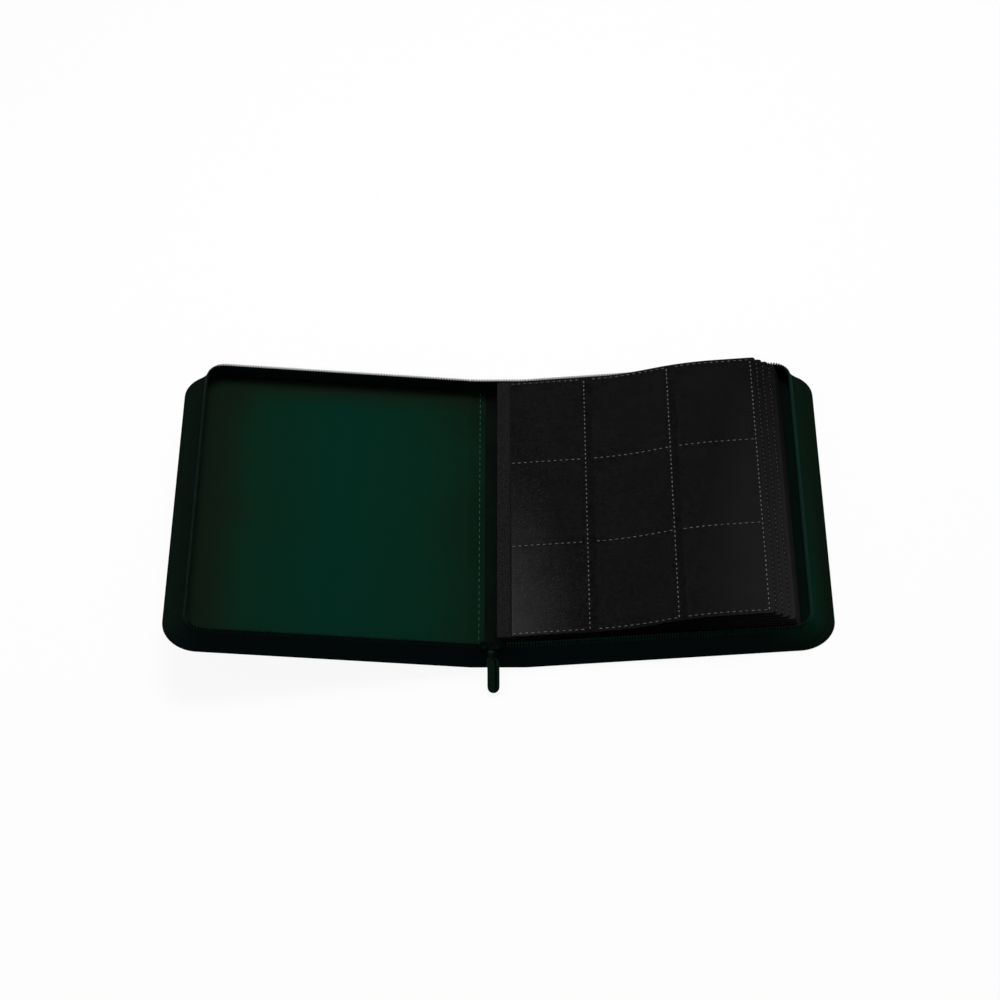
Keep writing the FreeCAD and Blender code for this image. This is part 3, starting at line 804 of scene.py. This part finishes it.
# %% Leather over the spine and hinges
STRIP_ROWS, HINGE_STEPS = 36, 12
LEATHER_HALF = HALF_Y - 0.9


def strip(name, section, half, thickness, made):
    """section is a list of (frame, x, z), from left to right."""
    def place(i, j):
        put, x, z = section[i]
        return put((x, half * (2.0 * j / STRIP_ROWS - 1.0), z))
    piece = cut_cloth(name, len(section) - 1, STRIP_ROWS, place, [made])
    return smooth(thicken(piece, thickness))


def hinge_leather(name, left, right, hinge_x):
    xs = [hinge_x - HINGE_REACH + 2.0 * HINGE_REACH * i / HINGE_STEPS for i in range(HINGE_STEPS + 1)]
    section = [(left if x < hinge_x else right, x, LEATHER_TOP) for x in xs]
    return strip(name, section, LEATHER_HALF, LEATHER_T, cover_leather)


spine_xs = (HINGE_REACH - HINGE_X, -9.0, 0.0, 9.0, HINGE_X - HINGE_REACH)
spine_leather = strip("spine_leather", [(on_spine, x, LEATHER_TOP) for x in spine_xs], LEATHER_HALF,
                      LEATHER_T, cover_leather)
front_hinge_leather = hinge_leather("front_hinge_leather", on_front, on_spine, -HINGE_X)
back_hinge_leather = hinge_leather("back_hinge_leather", on_spine, on_back, HINGE_X)
print("spine leather:", [round(x, 3) for x in spine_leather.dimensions])

# %% [markdown]
# Inside, the front lining runs on over its hinge to a sewn edge on the spine, and the same satin in
# painted shade covers the rest. A flat strip would stand off at the step between cover and spine, so
# the front one eases down to the spine's floor and the back one climbs from it.

# %% Satin in the spine and over the hinges
SATIN_HALF = 155.0
FOLD_T, SPINE_SATIN_T = 0.42, 0.55
FLAP_Z, STEP_DOWN, EASE_LENGTH = 3.4, 1.72, 14.35


def ease(t):
    """Goes from nought to one with a soft start and a soft end."""
    t = min(1.0, max(0.0, t))
    return t * t * (3.0 - 2.0 * t)


def fold_height(x):
    """The lining eases down from the cover's floor to the spine's."""
    return FLAP_Z + STEP_DOWN * (1.0 - ease((x + LAYER_X) / EASE_LENGTH))


front_fold = [(on_front, x, fold_height(x)) for x in (-27.7, -26.85, -26.2, -25.4, -24.6, -23.8)]
front_fold += [(on_spine, x, fold_height(x))
               for x in (-22.6, -21.8, -21.0, -20.0, -18.5, -17.0, -15.5, -14.0, -12.6, -11.5)]
front_hinge_satin = strip("front_hinge_satin", front_fold, SATIN_HALF, FOLD_T, satin)
spine_floor = [(on_spine, x, 2.9) for x in (-21.0, -14.0, -7.0, 0.0, 7.0, 13.0, 19.4)]
spine_satin = strip("spine_satin_sheet", spine_floor, SATIN_HALF, SPINE_SATIN_T, satin_in_painted_shade)
back_fold = [(on_spine, x, z) for x, z in ((19.4, 2.9), (20.3, 2.95), (21.2, 3.1), (22.0, 3.32))]
back_fold += [(on_back, x, z)
              for x, z in ((22.9, 3.75), (23.8, 4.3), (24.6, 4.7), (25.5, 4.98), (26.85, 5.1))]
back_hinge_satin = strip("back_hinge_satin", back_fold, SATIN_HALF, FOLD_T, satin_in_painted_shade)
print("satin strips:", [round(x, 3) for x in front_hinge_satin.dimensions])

# %% [markdown]
# ## Thread
# One stitch is modelled, as a short flattened bead, and then set along each seam. A bevelled curve
# would make one smooth line. A seam has hundreds of stitches, so each has only a few faces, and all
# the stitches of a seam are one mesh.

# %% One stitch
bpy.ops.object.select_all(action="DESELECT")
bpy.ops.mesh.primitive_uv_sphere_add(segments=6, ring_count=4, radius=0.5)
stitch = bpy.context.object
bpy.ops.object.mode_set(mode="EDIT")
bpy.ops.mesh.select_all(action="SELECT")
bpy.ops.transform.rotate(value=math.pi / 2, orient_axis="Y", center_override=(0, 0, 0))
bpy.ops.object.mode_set(mode="OBJECT")
STITCH_POINTS = np.array([v.co[:] for v in stitch.data.vertices])
STITCH_FACES = [tuple(f.vertices) for f in stitch.data.polygons]
bpy.data.objects.remove(stitch)
print("stitch:", len(STITCH_FACES), "faces")

# %% The seam of the lining
LINING_SEAM_X, LINING_SEAM_FOOT = -16.2, -150.5
LINING_PITCH, LINING_STITCHES = 7.0, 44


def sew(name, places, long, wide, high, made):
    """places holds (middle, along, up) for each stitch, in metres."""
    points, faces = [], []
    for middle, along, up in places:
        along, up = Vector(along).normalized(), Vector(up).normalized()
        side = up.cross(along)
        turn = np.array([along * long * MM, side * wide * MM, up * high * MM])
        first = len(points) * len(STITCH_POINTS)
        points.append(STITCH_POINTS @ turn + np.array(middle))
        faces += [tuple(first + k for k in f) for f in STITCH_FACES]
    piece = new_mesh(name, np.concatenate(points).tolist(), faces, made)
    return smooth(close_up(piece), 80.0)


seam_up = on_spine((0, 0, 1)) - on_spine((0, 0, 0))
seam_z = fold_height(LINING_SEAM_X)
lining_places = [(on_spine((LINING_SEAM_X, LINING_SEAM_FOOT + LINING_PITCH * k, seam_z)), (0, 1, 0), seam_up)
                 for k in range(LINING_STITCHES)]
lining_thread = sew("lining_thread", lining_places, 4.3, 0.62, 0.45, green_thread)
print("lining seam:", len(lining_places), "stitches")

# %% [markdown]
# ## Zip tape and teeth
# A woven tape stands on each rim and carries the teeth. A curve with a bevel could follow the rim, but
# the wall's own rings are already there, so the tape is rolled round the top one.

# %% Zip tape round each tray
TAPE = [(20.35, 0.4), (20.7, 0.38), (21.1, 0.42), (21.3, 0.6), (21.3, 1.2), (21.1, 1.38), (20.7, 1.42),
        (20.35, 1.4)]
TAPE_RING = TAPE + TAPE[:1]


def zip_tape(name, side, put):
    rings = [[(x, y, z) for x, y, _ in tray_ring(side, WALL_TOP, inset)] for z, inset in TAPE_RING]
    tape = cut_cloth(name, len(rings[0]) - 1, len(TAPE), lambda i, j: put(rings[j][i]), [tape_cloth])
    return smooth(close_up(tape))


tapes = {label: zip_tape(label + "_tape_band", side, put) for label, side, put in TRAYS}
print("tapes:", len(tapes["back"].data.polygons), "faces each")

# %% [markdown]
# A tooth is a small clip over the tape's edge, a little over two millimetres from the next. The solids
# carry a coarser row, so finer teeth stand in for it, and the same teeth go on across the ends of the
# spine. An array along a curve could set them too, but here each also follows the lean of the wall.

# %% One tooth, set many times
# The outline is (height, reach outwards); each slice is (place along the rim, share of full size).
TOOTH = [(18.4, 0.28), (20.4, 0.3), (22.5, 0.1), (23.05, -0.28), (23.05, -1.45), (22.5, -1.7),
         (20.6, -1.75), (19.3, -1.75)]
TOOTH_Z, TOOTH_OUT = 21.2, -0.85
SLICES = ((-0.7, 0.92), (-0.52, 1.0), (0.52, 1.0), (0.7, 0.92))


def set_teeth(name, places, put):
    """places holds (x, y, heading) on the rim's outer line; heading 0 has the outside at +y."""
    points, faces = [], []
    count = len(TOOTH)
    for x, y, heading in places:
        ax, ay = math.cos(heading), -math.sin(heading)
        whole_lean = ROUND_LEAN + (FORE_LEAN - ROUND_LEAN) * abs(ay) - (ROUND_LEAN - END_LEAN) * abs(ax)
        first = len(points)
        for along, small in SLICES:
            for z, out in TOOTH:
                z = TOOTH_Z + (z - TOOTH_Z) * small
                out = TOOTH_OUT + (out - TOOTH_OUT) * small + (1.0 - lean(z)) * whole_lean
                points.append(put((x + ax * along - ay * out, y + ay * along + ax * out, z)))
        last = first + (len(SLICES) - 1) * count
        for a in range(first, last, count):
            faces += [(a + i, a + (i + 1) % count, a + count + (i + 1) % count, a + count + i)
                      for i in range(count)]
        faces += [tuple(range(first, first + count)), tuple(range(last, last + count))]
    return smooth(close_up(new_mesh(name, points, faces, tooth_plastic)))


print("tooth:", len(TOOTH) * (len(SLICES) - 1) + 2, "faces")

# %% Teeth along each rim
TOOTH_PITCH = 2.4
RIM_X, RIM_Y, RIM_ROUND = outline(WALL_TOP, 0.0)


def rim_places():
    """Places along the rim, from the head of the spine round the fore edge to its foot."""
    r = RIM_ROUND
    end, turn, fore = RIM_X - r - LAYER_X, r * math.pi / 2, 2.0 * (RIM_Y - r)
    whole = 2.0 * (end + turn) + fore
    count = int((whole - 1.0) / TOOTH_PITCH) + 1
    places = []
    for i in range(count):
        s = (whole - (count - 1) * TOOTH_PITCH) / 2.0 + i * TOOTH_PITCH
        if s < end:
            places.append((LAYER_X + s, RIM_Y, 0.0))
        elif s < end + turn:
            a = (s - end) / r
            places.append((RIM_X - r + r * math.sin(a), RIM_Y - r + r * math.cos(a), a))
        elif s < end + turn + fore:
            places.append((RIM_X, RIM_Y - r - (s - end - turn), math.pi / 2))
        elif s < whole - end:
            a = math.pi / 2 + (s - end - turn - fore) / r
            places.append((RIM_X - r + r * math.sin(a), r - RIM_Y + r * math.cos(a), a))
        else:
            places.append((LAYER_X + whole - s, -RIM_Y, math.pi))
    return places


teeth = {"back": set_teeth("back_rim_teeth", rim_places(), on_back),
         "front": set_teeth("front_rim_teeth", rim_places(), lambda p: on_front((-p[0], p[1], p[2])))}
print("teeth:", len(rim_places()), "on each rim")

# %% [markdown]
# ## Slider
# The bail that holds the tab is a bent metal bar. Its solid has the right shape with sharp edges, so it
# stays, and a live weld and bevel round it. A new bar would only copy it.

# %% Rounded bail
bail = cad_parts["slider_bail"]
refinish("slider_bail", dark_metal)
weld = bail.modifiers.new("weld", "WELD")
weld.merge_threshold = WELD
bevel = bail.modifiers.new("bevel", "BEVEL")
bevel.width = 0.45 * MM
bevel.segments = 3
bevel.limit_method = "ANGLE"
bevel.angle_limit = math.radians(35.0)
print("rounded:", bail.name)

# %% [markdown]
# The slider is cast metal: two plates on a post, each with a full lobe at the left and the right and a
# waist between them. A box with bevels keeps flat faces, so each plate is laid in rings from its
# middle over its edge, which gives it a domed top to catch the light.

# %% Slider casting
SLIDER_X, SLIDER_Y = -6.0, -155.0
SLIDER_LONG, SLIDER_WIDE = 10.0, 5.0
FULLNESS = 0.7
WAIST, WAIST_REACH = 0.32, 2.6
LOBE_X, LOBE_REACH = 6.0, 3.2
AROUND = 48
# Rings of a plate and of the post, as (share of the outline, height).
PLATE = [(0.0, 0.0), (0.6, 0.0), (0.93, 0.05), (1.0, 0.25), (1.0, 0.6), (0.94, 0.85), (0.8, 0.96),
         (0.5, 1.0), (0.0, 1.0)]
POST = [(0.0, 21.9), (0.3, 21.9), (0.3, 25.0), (0.0, 25.0)]


def slider_point(i, share, z):
    """A point of the plate's outline, drawn in to a share of its size."""
    a = 2.0 * math.pi * i / AROUND
    x = SLIDER_LONG * math.copysign(abs(math.cos(a)) ** FULLNESS, math.cos(a))
    y = SLIDER_WIDE * math.copysign(abs(math.sin(a)) ** FULLNESS, math.sin(a))
    waist = 1.0 - WAIST * math.exp(-(x / WAIST_REACH) ** 2)
    return (SLIDER_X + x * share, SLIDER_Y + y * share * waist, z)


def slider_plate(name, low, thick, swell):
    def place(i, j):
        share, up = PLATE[j]
        x, y, z = slider_point(i, share, low + thick * up)
        lobe = math.exp(-((abs(x - SLIDER_X) - LOBE_X) / LOBE_REACH) ** 2)
        return on_spine((x, y, z + swell * (lobe - 1.0) * max(0.0, up - 0.3)))
    return close_up(cut_cloth(name, AROUND, len(PLATE) - 1, place, [dark_metal]))


low_plate = slider_plate("low_plate", 20.8, 1.4, 0.0)
top_plate = slider_plate("top_plate", 24.4, 1.8, 1.3)
post = close_up(cut_cloth("post", AROUND, len(POST) - 1, lambda i, j: on_spine(slider_point(i, *POST[j])),
                          [dark_metal]))
slider = smooth(join("slider_casting", [low_plate, top_plate, post]))
print("slider:", len(slider.data.polygons), "faces")

# %% [markdown]
# ## End webs
# At the head and foot of the spine the wall goes on as a soft web, which crumples when the album
# shuts. The middle goes with the spine, and the two corners go with the covers. One bending piece could
# cover all of it, but a bending piece follows two bodies, and here there are three.

# %% A length of end wall
WEB_SECTION = OUTSIDE[2:] + INSIDE[:-2] + OUTSIDE[2:3]


def end_wall(end, put, left, right, steps):
    """Wall and tape from left to right, given as x at any height; end is 1 at the head, -1 at the foot."""
    def laid(ring, half):
        def place(i, j):
            z, inset = ring[j]
            x = left(z) + (right(z) - left(z)) * i / steps
            return put((x, end * (half(z) - inset), z))
        return place

    wall = cut_cloth("web", steps, len(WEB_SECTION) - 1,
                     laid(WEB_SECTION, lambda z: HALF_Y - END_LEAN * lean(z)),
                     [leather, wall_lining_painted_shade], lambda row: int(row > len(OUTSIDE) - 2))
    band = cut_cloth("web_band", steps, len(TAPE), laid(TAPE_RING, lambda z: RIM_Y), [tape_cloth])
    return [close_up(wall), close_up(band)]


def web(name, end, put, left, right, steps, tooth_xs):
    pieces = end_wall(end, put, left, right, steps)
    heading = 0.0 if end > 0 else math.pi
    pieces.append(set_teeth("tooth_row", [(x, end * RIM_Y, heading) for x in tooth_xs], put))
    return smooth(join(name, pieces))


print("web section:", len(WEB_SECTION) - 1, "rows")

# %% Webs at the head and foot
SLOPE = math.sin(BEND / 2.0)
HINGE_GAP, LAYER_GAP = 0.01, 0.02
MIDDLE_STEPS, CORNER_STEPS = 14, 4
SIDE_TEETH, CORNER_TOOTH = 9, 25.7
SLIDER_ROOM = (-17.5, 5.5)


def from_hinge(z):
    """How far a web stops from the hinge, so that two meet on the line that halves the bend."""
    return HINGE_GAP + (z - HINGE_Z) * SLOPE


webs = []
for end, label in ((1.0, "head"), (-1.0, "foot")):
    row = [TOOTH_PITCH * k for k in range(-SIDE_TEETH, SIDE_TEETH + 1)]
    if label == "foot":
        row = [x for x in row if not SLIDER_ROOM[0] < x < SLIDER_ROOM[1]]
    middle = web(label + "_web_middle", end, on_spine, lambda z: from_hinge(z) - HINGE_X,
                 lambda z: HINGE_X - from_hinge(z), MIDDLE_STEPS, row)
    corner_r = web(label + "_web_back_corner", end, on_back, lambda z: HINGE_X + from_hinge(z),
                   lambda z: LAYER_X - LAYER_GAP, CORNER_STEPS, [CORNER_TOOTH])
    corner_l = web(label + "_web_front_corner", end, on_front, lambda z: LAYER_GAP - LAYER_X,
                   lambda z: -HINGE_X - from_hinge(z), CORNER_STEPS, [-CORNER_TOOTH])
    webs.append((label, middle, corner_r, corner_l))
print("webs:", [piece.name for group in webs for piece in group[1:]])

# %% [markdown]
# ## Pull tab
# The tab is a round-ended strip of leather folded round the bail, with its edges turned in. A bevelled
# outline would have a hard edge all round, so a tube is laid along its length and flattened instead.

# %% Blade of the tab
EYE = (-6.0, -163.0, 25.5)
TILT = math.radians(50.0)
SLANT, SLANT_FROM, SLANT_LENGTH = 2.0, 2.2, 7.0
# Rows along the tab, as (reach from the eye, half width, half thickness).
TAB_ROWS = [(1.75, 0.4, 0.3), (1.78, 1.6, 0.62), (2.2, 1.95, 0.85), (3.2, 2.05, 0.9), (4.0, 2.6, 0.9),
            (4.9, 3.9, 0.9), (5.8, 4.7, 0.9), (7.2, 5.0, 0.9), (12.0, 5.0, 0.9), (18.0, 5.0, 0.9),
            (24.0, 5.0, 0.9), (28.0, 5.0, 0.9), (29.8, 4.7, 0.9), (31.2, 3.95, 0.9), (32.2, 2.85, 0.85),
            (32.8, 1.6, 0.7), (33.0, 0.4, 0.35)]
TAB_RING = [(1.0, 0.0), (0.97, 0.5), (0.86, 0.8), (0.52, 0.85), (0.40, 0.0), (0.28, 1.0), (0.0, 1.0),
            (-0.5, 1.0), (-0.86, 0.95), (-0.97, 0.55), (-1.0, 0.0), (-0.97, -0.55), (-0.86, -0.95),
            (0.0, -1.0), (0.86, -0.95), (0.97, -0.55)]
GROOVE = (3, 4)


def on_tab(p):
    """The tab drawn flat, with its eye at the origin and its tip towards -y, then tipped down at the bail."""
    y = p[1] * math.cos(TILT) - p[2] * math.sin(TILT)
    z = p[1] * math.sin(TILT) + p[2] * math.cos(TILT)
    return on_spine((EYE[0] + p[0], EYE[1] + y, EYE[2] + z))


def tab_place(i, j):
    reach, wide, thick = TAB_ROWS[j]
    u, v = TAB_RING[i % len(TAB_RING)]
    aside = SLANT * ease((reach - SLANT_FROM) / SLANT_LENGTH)
    return on_tab((wide * u + aside, -reach, thick * v))


tab = cut_cloth("tab_blade", len(TAB_RING), len(TAB_ROWS) - 1, tab_place, [tab_leather, tab_groove_painted_shade])
# The faces in the groove take the darker leather, painted shade.
for face in tab.data.polygons:
    if face.index % len(TAB_RING) in GROOVE:
        face.material_index = 1
close_up(tab)
print("tab blade:", len(tab.data.polygons), "faces")

# %% Loop round the bail
LOOP = [(1.32, -1.9), (1.3, -1.5), (1.3, 1.5), (1.32, 1.9), (1.55, 2.0), (1.95, 2.0), (2.17, 1.85),
        (2.2, 1.5), (2.2, -1.5), (2.17, -1.85), (1.95, -2.0), (1.55, -2.0)]
LOOP_STEPS = 24


def loop_place(i, j):
    r, x = LOOP[j % len(LOOP)]
    a = 2.0 * math.pi * i / LOOP_STEPS
    return on_tab((x, r * math.cos(a), r * math.sin(a)))


loop = close_up(cut_cloth("tab_loop", LOOP_STEPS, len(LOOP), loop_place, [tab_leather]))
pull_tab = join("pull_tab_leather", [tab, loop])
modify(pull_tab, "SUBSURF", levels=1, render_levels=1)
smooth(pull_tab, 60.0)
print("pull tab:", len(pull_tab.data.polygons), "faces")

# %% [markdown]
# ## Binding strips
# Each leaf is sewn into a folded strip of twill, and the strips lie on each other like steps. Bevelled
# boxes would do at a distance, but here they are rolled from one cut, so that the edges are round, the
# ends are closed and the tops are not quite flat.

# %% Twill strips
STRIP_LEFT = [1.1, 6.5, 11.9, 17.3, 18.0, 18.7, 19.4, 20.1, 20.8, 21.5]
STRIP_W, STRIP_TOP, STRIP_STEP, STRIP_HALF = 11.5, 26.1, 2.0, 145.5
STRIP_GAP, STRIP_T = 0.03, 1.94
EDGE_SHARE, BIT_SHARE, PUCKER = 0.28, 0.3, 0.02


def twill_strip(name, left, right, top, thick):
    edge = thick * EDGE_SHARE
    bit = edge * BIT_SHARE
    w, low = right - left, top - thick
    ring = [(left, low + edge), (left, top - edge), (left + bit, top - bit), (left + edge, top),
            (left + w * 0.25, top + PUCKER), (left + w * 0.5, top), (left + w * 0.75, top + PUCKER),
            (right - edge, top), (right - bit, top - bit), (right, top - edge), (right, low + edge),
            (right - bit, low + bit), (right - edge, low), (left + w * 0.5, low), (left + edge, low),
            (left + bit, low + bit)]
    ys = [-1.0, -0.998] + [-0.96 + 1.92 * k / 16 for k in range(17)] + [0.998, 1.0]

    def place(i, j):
        x, z = ring[i % len(ring)]
        return on_back((x, STRIP_HALF * ys[j], z))
    return smooth(close_up(cut_cloth(name, len(ring), len(ys) - 1, place, [binding_twill])))


bindings = [twill_strip("binding_cloth_%02d" % (k + 1), x, x + STRIP_W,
                        STRIP_TOP - STRIP_STEP * k - STRIP_GAP, STRIP_T)
            for k, x in enumerate(STRIP_LEFT)]
base_cloth = twill_strip("binding_base_cloth", 27.25, 38.75, 6.08, 0.95)
print("binding strips:", len(bindings) + 1)

# %% [markdown]
# ## Pocket leaves
# A leaf is a black sheet with three columns of film on each side, sewn down the right of each column
# and across at four heights, so each pocket opens to the left. The leaves rise over the ones below
# in a gentle S. A curve modifier could bend them, but the sheet, the film and the thread all have to
# follow the same bend, so two arcs are worked out once for all three.

# %% The rise of a leaf
LEAVES = len(STRIP_LEFT)
LEAF_LENGTH, LEAF_HALF = 215.2, 145.5
COLUMNS = ((0.8, 66.1), (71.6, 139.1), (144.6, 212.1))
RISE_START, ARC_LENGTH = 66.5, 57.0
RISE_MIDDLE, RISE_END = RISE_START + ARC_LENGTH, RISE_START + 2.0 * ARC_LENGTH
LEAST_RISE, RISE_STEP = 0.4, 1.15


def rise_at(s, rise):
    turn = 2.0 * math.atan2(rise / 2.0, ARC_LENGTH)
    radius = ARC_LENGTH / math.sin(turn)
    if s <= RISE_START:
        return 0.0
    if s < RISE_MIDDLE:
        return radius - math.sqrt(radius ** 2 - (s - RISE_START) ** 2)
    if s < RISE_END:
        return rise - radius + math.sqrt(radius ** 2 - (RISE_END - s) ** 2)
    return rise


def leaf_point(k, s, y, depth):
    """A point of leaf k at s from its strip and at a depth under the strip's top."""
    rise = LEAST_RISE + (LEAVES - 1 - k) * RISE_STEP
    return (STRIP_LEFT[k] + STRIP_W + s, y, STRIP_TOP - STRIP_STEP * k - depth + rise_at(s, rise))


print("top leaf rises", round(rise_at(RISE_END, LEAST_RISE + (LEAVES - 1) * RISE_STEP), 2), "mm")

# %% [markdown]
# The black sheet has small round corners at its free edge. A bevel would do for a flat sheet, but this
# one is a bent grid, so its last columns lie closer together and are drawn in round the corner.

# %% Black base sheets
CORNER_R = 2.8
CORNER_S = LEAF_LENGTH - CORNER_R
SHEET_DEPTH, SHEET_T = 0.44, 0.56
SHEET_S = [0.3, 1.0, 4.3, 20.0, 40.0, 60.0] + [RISE_START + 6.0 * i for i in range(20)]
SHEET_S += [190.0, 200.0, 207.0, CORNER_S]
SHEET_S += [CORNER_S + CORNER_R * math.sin(math.radians(a)) for a in (22.5, 45.0, 67.5, 90.0)]
SHEET_Y = [-1.0, -0.99] + [-0.97 + 1.94 * i / 12 for i in range(13)] + [0.99, 1.0]


def base_sheet(k):
    def place(i, j):
        s, half = SHEET_S[i], LEAF_HALF
        if s > CORNER_S:
            half -= CORNER_R - math.sqrt(max(0.0, CORNER_R ** 2 - (s - CORNER_S) ** 2))
        return on_back(leaf_point(k, s, half * SHEET_Y[j], SHEET_DEPTH))
    sheet = cut_cloth("leaf_sheet_%02d" % (k + 1), len(SHEET_S) - 1, len(SHEET_Y) - 1, place, [black_cloth])
    return smooth(thicken(sheet, SHEET_T))


sheets = [base_sheet(k) for k in range(LEAVES)]
print("base sheets:", len(sheets), "of", len(sheets[0].data.polygons), "faces")

# %% [markdown]
# Each column of film is sewn down in three pockets, and each pocket stands off the sheet a little in
# its middle. Cloth with pressure would puff it the same way, but for a sixth of a millimetre a smooth
# formula is enough.

# %% Film pockets on both sides
FILM_HALF, POCKET = 144.5, 95.0
FILM_ACROSS, FILM_ALONG = 16, 30
PUFF = 0.16
# Depth of the film under the strip's top, and which way it puffs, above and below the sheet.
FILM_SIDES = ((0.2, -1.0), (1.24, 1.0))


def film_column(k, left, right, depth, way):
    def place(i, j):
        t = i / FILM_ACROSS
        y = FILM_HALF * (2.0 * (j / FILM_ALONG) - 1.0)
        row = (y % POCKET - POCKET / 2.0) / POCKET % 1.0
        puff = PUFF * (1.0 - (2.0 * t - 1.0) ** 4) * abs(math.sin(math.pi * row)) ** 0.7
        return on_back(leaf_point(k, left + (right - left) * t, y, depth + way * puff))
    return cut_cloth("film", FILM_ACROSS, FILM_ALONG, place, [film])


def pocket_film(k):
    made = [film_column(k, left, right, depth, way) for depth, way in FILM_SIDES for left, right in COLUMNS]
    return smooth(join("leaf_pockets_%02d" % (k + 1), made), 60.0)


pockets = [pocket_film(k) for k in range(LEAVES)]
print("pockets:", len(pockets), "of", len(pockets[0].data.polygons), "faces")

# %% [markdown]
# Grey thread holds the film down on both sides of the sheet; under the top leaf it takes a darker
# copy, painted shade. A dashed picture would show it from above, but raised stitches catch the light
# from every side. The stitches underneath are half a pitch further on, as in a running stitch.

# %% Leaf thread
SEAMS = (64.6, 137.6, 210.6)
SEAM_FOOT, SEAM_STITCHES = -141.0, 56
CROSS_SEAMS = (-142.5, -47.5, 47.5, 142.5)
CROSS_START, CROSS_STOP = 1.8, 1.5
PITCH = 5.1
# Depth of the thread and its shift along the seam, above and below the sheet.
THREAD_SIDES = ((0.02, 0.0), (1.42, PITCH / 2.0))


def down_seams(k, depth, shift):
    ys = [SEAM_FOOT + shift + PITCH * n for n in range(SEAM_STITCHES)]
    return [(on_back(leaf_point(k, s, y, depth)), (0, 1, 0), (0, 0, 1)) for s in SEAMS for y in ys]


def cross_seams(k, depth, shift):
    places = []
    for (left, _), seam in zip(COLUMNS, SEAMS):
        for y in CROSS_SEAMS:
            s = left + CROSS_START + shift
            while s < seam - CROSS_STOP:
                middle = on_back(leaf_point(k, s, y, depth))
                along = on_back(leaf_point(k, s + 0.5, y, depth)) - middle
                places.append((middle, along, along.cross(Vector((0, -1, 0)))))
                s += PITCH
    return places


def leaf_thread(k):
    down = [stitch for side in THREAD_SIDES for stitch in down_seams(k, *side)]
    across = [stitch for side in THREAD_SIDES for stitch in cross_seams(k, *side)]
    # The leaves under the top one take the thread in painted shade.
    made = grey_thread_in_painted_shade if k else grey_thread
    seams = [sew("seam", down, 2.0, 0.66, 0.40, made), sew("seam", across, 2.6, 0.48, 0.34, made)]
    return join("leaf_thread_%02d" % (k + 1), seams)


threads = [leaf_thread(k) for k in range(LEAVES)]
print("leaf thread:", len(threads), "of", len(threads[0].data.polygons), "faces")

# %% [markdown]
# ## What moves with what
# Each piece is tied to the solid that carries it and hides the soft solid that it stands for.

# %% Covers and spine
def dress(piece, body, slot, *nodes):
    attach(piece, body)
    if nodes:
        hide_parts(*nodes)


for label, _, _ in TRAYS:
    body = label + "_cover"
    dress(walls[label], body, "leather_green", label + "_gusset")
    dress(leathers[label], body, "leather_green", label + "_skin")
    dress(pads[label], body, "lining_satin", label + "_lining", label + "_padding")
    dress(tapes[label], body, "zip_tape", label + "_zip_tape")
    dress(teeth[label], body, "zip_teeth", label + "_zip_teeth")
dress(spine_leather, "spine", "leather_green", "spine_skin")
dress(spine_satin, "spine", "lining_satin", "spine_lining")
dress(lining_thread, "spine", "lining_satin")
print("covers and spine dressed")

# %% Strips over the hinges
on_front((-HINGE_X - 5.0, 0, 0.45))
on_spine((-HINGE_X + 5.0, 0, 0.45))
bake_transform(front_hinge_leather)
on_spine((HINGE_X - 5.0, 0, 0.45))
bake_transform(back_hinge_leather)
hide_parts("lining_flap")
on_front((-26.4, 0, 4.0))
on_spine((-20.0, 0, 3.4))
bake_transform(front_hinge_satin)
on_spine((19.8, 0, 3.0))
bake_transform(back_hinge_satin)

# %% Webs, slider, tab and leaf block
for label, middle, corner_r, corner_l in webs:
    y = HALF_Y if label == "head" else -HALF_Y
    dress(middle, "spine", "leather_green", label + "_web")
    foot = on_spine((0, y, HINGE_Z))
    on_spine((0, y, HINGE_Z + 1.0)) - foot
    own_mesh(middle)
    for piece, body, put, x in ((corner_r, "back_cover", on_back, LAYER_X),
                                (corner_l, "front_cover", on_front, -LAYER_X)):
        dress(piece, body, "leather_green")
        fold = put((x, y, HINGE_Z))
        put((x + 1.0, y, HINGE_Z)) - fold
        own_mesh(piece)
dress(slider, "slider", "zip_metal", "zip_slider")
dress(pull_tab, "pull", "pull_leather", "pull_tab")
dress(base_cloth, "back_cover", "binding_cloth", "binding_base")
for k in range(LEAVES):
    n = "%02d" % (k + 1)
    dress(bindings[k], "binding_" + n, "binding_cloth", "binding_strip_" + n)
    dress(sheets[k], "leaf_" + n, "leaf_black", "leaf_" + n)
    dress(pockets[k], "leaf_" + n, "pocket_film", "leaf_%s_film" % n)
    dress(threads[k], "leaf_" + n, "leaf_black")
print("leaf block dressed")

# %% [markdown]

# %% Cut sizes of the cloth, not set here
print("no cloth sizes set")

# %% End
print("end of the scene")
